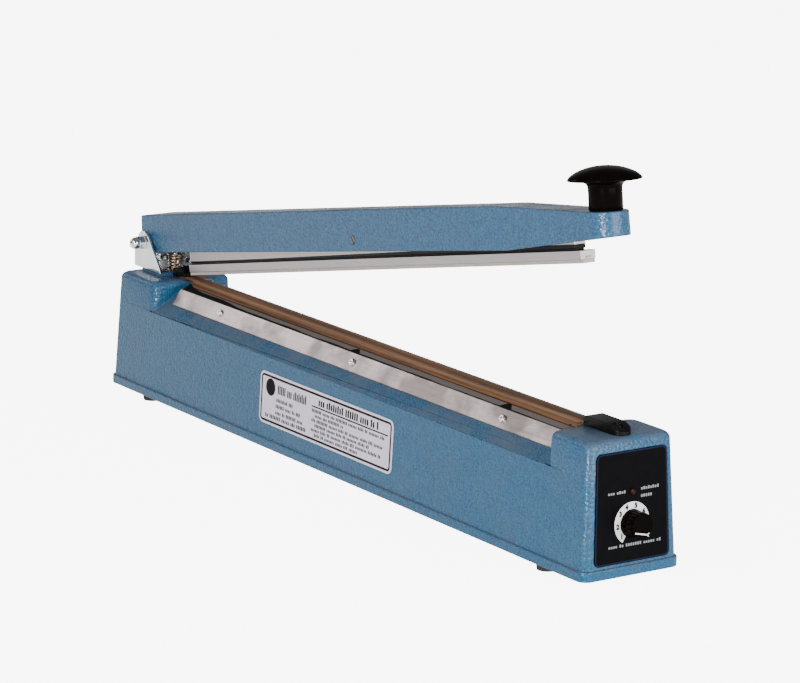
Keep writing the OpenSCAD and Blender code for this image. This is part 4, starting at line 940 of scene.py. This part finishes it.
@dataclass
class HingeSet:
    """The bracket, pivot and lift spring at the rear. Lengths are in millimetres."""

    book: Catalogue
    wire_r: float = 0.8
    turns: int = 6
    steps: int = 28
    sides: int = 12
    dead_rise: float = 2.08
    closed_share: float = 0.89
    crease: float = 50.0

    def _spring(self) -> None:
        """Winds the lift spring, with close end turns."""
        low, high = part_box("lift_spring")
        middle = Vector(((low[0] + high[0]) / 2, 0.0, low[2]))
        mean_r = (high[1] - low[1]) / 2 / MM - self.wire_r
        rise = (high[2] - low[2]) / MM - 2 * self.wire_r - 2 * self.dead_rise
        bm = bmesh.new()
        ring = bmesh.ops.create_circle(bm, cap_ends=False, segments=self.sides, radius=self.wire_r,
                                       matrix=Matrix.Translation((mean_r, 0.0, self.wire_r))
                                       @ Matrix.Rotation(math.pi / 2, 4, "X"))["verts"]
        geom = first = [*ring, *{e for v in ring for e in v.link_edges}]
        for turns, climb in ((1, self.dead_rise), (self.turns - 2, rise), (1, self.dead_rise)):
            count = turns * self.steps
            geom = bmesh.ops.spin(bm, geom=geom, cent=(0, 0, 0), axis=(0, 0, 1), dvec=(0, 0, climb / count),
                                  angle=math.tau * turns, steps=count)["geom_last"]
        for end in (first, geom):
            bmesh.ops.contextual_create(bm, geom=[e for e in end if isinstance(e, bmesh.types.BMEdge)])
        bmesh.ops.recalc_face_normals(bm, faces=bm.faces)
        Shapes.place(bm, Matrix.Translation(middle))
        piece = self.book.hand_in(bm, "lift_spring_wound", "base", "spring", "", ("lift_spring",), self.crease)
        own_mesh(piece)

    def build(self) -> None:
        """Softens and dresses the hinge."""
        self.book.dress({"hinge_bracket": 0.4, "bracket_screws": 0.0, "pivot_bolt": 0.25, "pivot_nut": 0.25,
                         "hinge_washers": 0.1})
        self._spring()


@dataclass
class PressArm:
    """The cast arm with its hand knob and the bar's pin. Lengths are in millimetres, angles in degrees."""

    book: Catalogue
    open_deg: float = 10.3
    knob_x: float = 592.7
    knob_base: float = 15.839
    nose_deg: float = 3.04
    bore_r: float = 4.05
    bore_l: float = 16.0
    stem_r: float = 11.4
    stem_h: float = 19.0
    neck_r: float = 4.5
    rim_r: float = 0.8
    cap_r: float = 24.75
    cap_h: float = 10.57
    dome_power: float = 1.45
    foot_h: float = 0.05
    chamfer: Pair = (0.95, 0.07)
    dome_steps: int = 20
    crease: float = 40.0

    def _knob(self) -> None:
        """Turns the hand knob from its outline."""
        share, rise = self.chamfer
        outline = [(self.bore_r, self.foot_h), (self.stem_r * share, self.foot_h), (self.stem_r, self.stem_r * rise)]
        outline += [(self.stem_r + self.neck_r * (1 - math.cos(a)), self.stem_h - self.neck_r * (1 - math.sin(a)))
                    for a in [math.radians(9 * i) for i in range(11)]]
        rim_h = self.stem_h + 2 * self.rim_r
        outline += [(self.cap_r - self.rim_r * (1 - math.cos(a)), rim_h + self.rim_r * math.sin(a))
                    for a in [math.radians(-60 + 20 * i) for i in range(7)]]
        (start_r, start_h), top = outline[-1], self.stem_h + self.cap_h
        outline += [(start_r * math.cos(a), start_h + (top - start_h) * math.sin(a) ** self.dome_power)
                    for a in [math.pi / 2 * i / self.dome_steps for i in range(1, self.dome_steps)]]
        outline += [(0.0, top)]
        bm = bmesh.new()
        verts = [bm.verts.new((r, 0.0, z)) for r, z in [(0.0, self.bore_l), (self.bore_r, self.bore_l), *outline]]
        edges = [bm.edges.new(pair) for pair in zip(verts, verts[1:])]
        bmesh.ops.spin(bm, geom=[*verts, *edges], cent=(0, 0, 0), axis=(0, 0, 1), angle=math.tau, steps=96,
                       use_merge=True)
        bmesh.ops.remove_doubles(bm, verts=bm.verts, dist=0.001)
        bmesh.ops.recalc_face_normals(bm, faces=bm.faces)
        opened, nose = (Matrix.Rotation(math.radians(deg), 4, "Y") for deg in (-self.open_deg, self.nose_deg))
        seat = Matrix.Translation(Vector((self.knob_x, 0, self.knob_base)) * MM)
        pivot = next(joint["pos_m"] for joint in frame["joints"] if joint["name"] == "arm_hinge")
        Shapes.place(bm, Matrix.Translation(pivot) @ opened @ seat @ nose)
        self.book.hand_in(bm, "hand_knob_turned", "arm", "knob", "", ("hand_knob",), self.crease)

    def build(self) -> None:
        """Softens and dresses the arm."""
        self.book.soften("arm_casting", 0.8, "arm_paint")
        self.book.soften("bar_pin", finish="dark_steel")
        self.book.dress({"hinge_bush": 0.0, "knob_screw": 0.0})
        self._knob()


@dataclass
class PressBar:
    """The extruded bar with its silicone strip."""

    book: Catalogue

    def build(self) -> None:
        """Softens and dresses the bar."""
        self.book.dress({"pressure_bar": 0.3, "silicone_strip": 0.2})


LAMPS = (  # name, place, aim, side length in metres, power in watts
    ("key", (0.4, -2.4, 1.7), (0.0, 0.0, 0.1), 1.5, 36.0),
    ("front", (2.8, 0.5, 0.6), (0.2, 0.0, 0.05), 2.0, 122.0),
    ("spark", (1.55, -2.0, 0.45), (0.3, 0.0, 0.1), 0.31, 52.0),
    ("left", (-2.2, -1.1, 1.2), (0.0, 0.0, 0.1), 0.9, 8.0),
    ("back", (-2.6, 1.8, 0.9), (0.0, 0.0, 0.1), 2.0, 3.5),
)


@dataclass
class Studio:
    """Pale floor, soft light and the camera. Lengths are in metres, angles in degrees."""

    at: Triple = (1.91401, -1.2616, 0.63411)
    lens: float = 145.02
    azimuth: float = 56.11
    elevation: float = 13.13
    roll: float = 0.93
    glow: float = 7.5
    sheen: float = 1.05
    sky: float = 0.18

    def _camera(self) -> None:
        """Sets the camera at the photograph's angle."""
        az, el, roll = (math.radians(v) for v in (self.azimuth, self.elevation, self.roll))
        ahead = Vector((-math.sin(az) * math.cos(el), math.cos(az) * math.cos(el), -math.sin(el)))
        right = Vector((math.cos(az), math.sin(az), 0.0))
        up = right.cross(ahead)
        across = math.cos(roll) * right + math.sin(roll) * up
        rise = math.cos(roll) * up - math.sin(roll) * right
        data = bpy.data.cameras.new("camera")
        data.lens, data.sensor_width, data.clip_start, data.clip_end = self.lens, 36.0, 0.05, 50.0
        camera = stand("camera", data)
        camera.matrix_world = Matrix.Translation(self.at) @ Matrix((across, rise, -ahead)).transposed().to_4x4()
        bpy.context.scene.camera = camera

    def _floor(self) -> None:
        """Lays the pale floor, which looks white to the camera and lights the object less."""
        bm = bmesh.new()
        bmesh.ops.create_grid(bm, x_segments=1, y_segments=1, size=12.0)
        mesh = bpy.data.meshes.new("floor")
        bm.to_mesh(mesh)
        bm.free()
        material = bpy.data.materials.new("floor")
        material.use_nodes = True
        bench = NodeBench(material.node_tree)
        path = bench.add("ShaderNodeLightPath").outputs
        bench.feed(material.node_tree.nodes["Principled BSDF"], {
            "Base Color": (0.62, 0.62, 0.62, 1.0), "Roughness": 0.9, "Specular IOR Level": 0.1,
            "Emission Color": (1.0, 1.0, 1.0, 1.0),
            "Emission Strength": bench.weigh((path["Is Camera Ray"], self.glow), (path["Is Glossy Ray"], self.sheen))})
        mesh.materials.append(material)
        floor = stand("floor", mesh)

    @staticmethod
    def _lamp(name: str, spot: Triple, aim: Triple, size: float, power: float) -> None:
        """Hangs one soft box.

        Args:
            name: The lamp's name.
            spot: Where it hangs.
            aim: The point that it faces.
            size: Its side length.
            power: Its power in watts.
        """
        data = bpy.data.lights.new(name, "AREA")
        data.shape, data.size, data.energy = "SQUARE", size, power
        lamp = stand(name, data)
        lamp.visible_camera = False
        turn = (Vector(aim) - Vector(spot)).to_track_quat("-Z", "Y").to_matrix().to_4x4()
        lamp.matrix_world = Matrix.Translation(spot) @ turn

    def build(self) -> None:
        """Sets the camera, floor, lamps and the even sky."""
        self._camera()
        self._floor()
        for lamp in LAMPS:
            self._lamp(*lamp)
        world = bpy.data.worlds.new("sky")
        bpy.context.scene.world = world
        world.use_nodes = True
        NodeBench(world.node_tree).feed(world.node_tree.nodes["Background"], {"Color": (1.0, 1.0, 1.0, 1.0),
                                                                               "Strength": self.sky})


def main() -> None:
    """Builds the studio and every sub-assembly."""
    logging.basicConfig(level=logging.INFO, format="%(name)s: %(message)s")
    Studio().build()
    book = Catalogue()
    casing = Casing(book)
    for assembly in (casing, HeaterDeck(book), ControlEnd(book, casing), SidePlate(book, casing), InnerWorks(book),
                     HingeSet(book), PressArm(book), PressBar(book)):
        assembly.build()
        log.info("%s done", type(assembly).__name__)


if __name__ == "__main__":
    main()
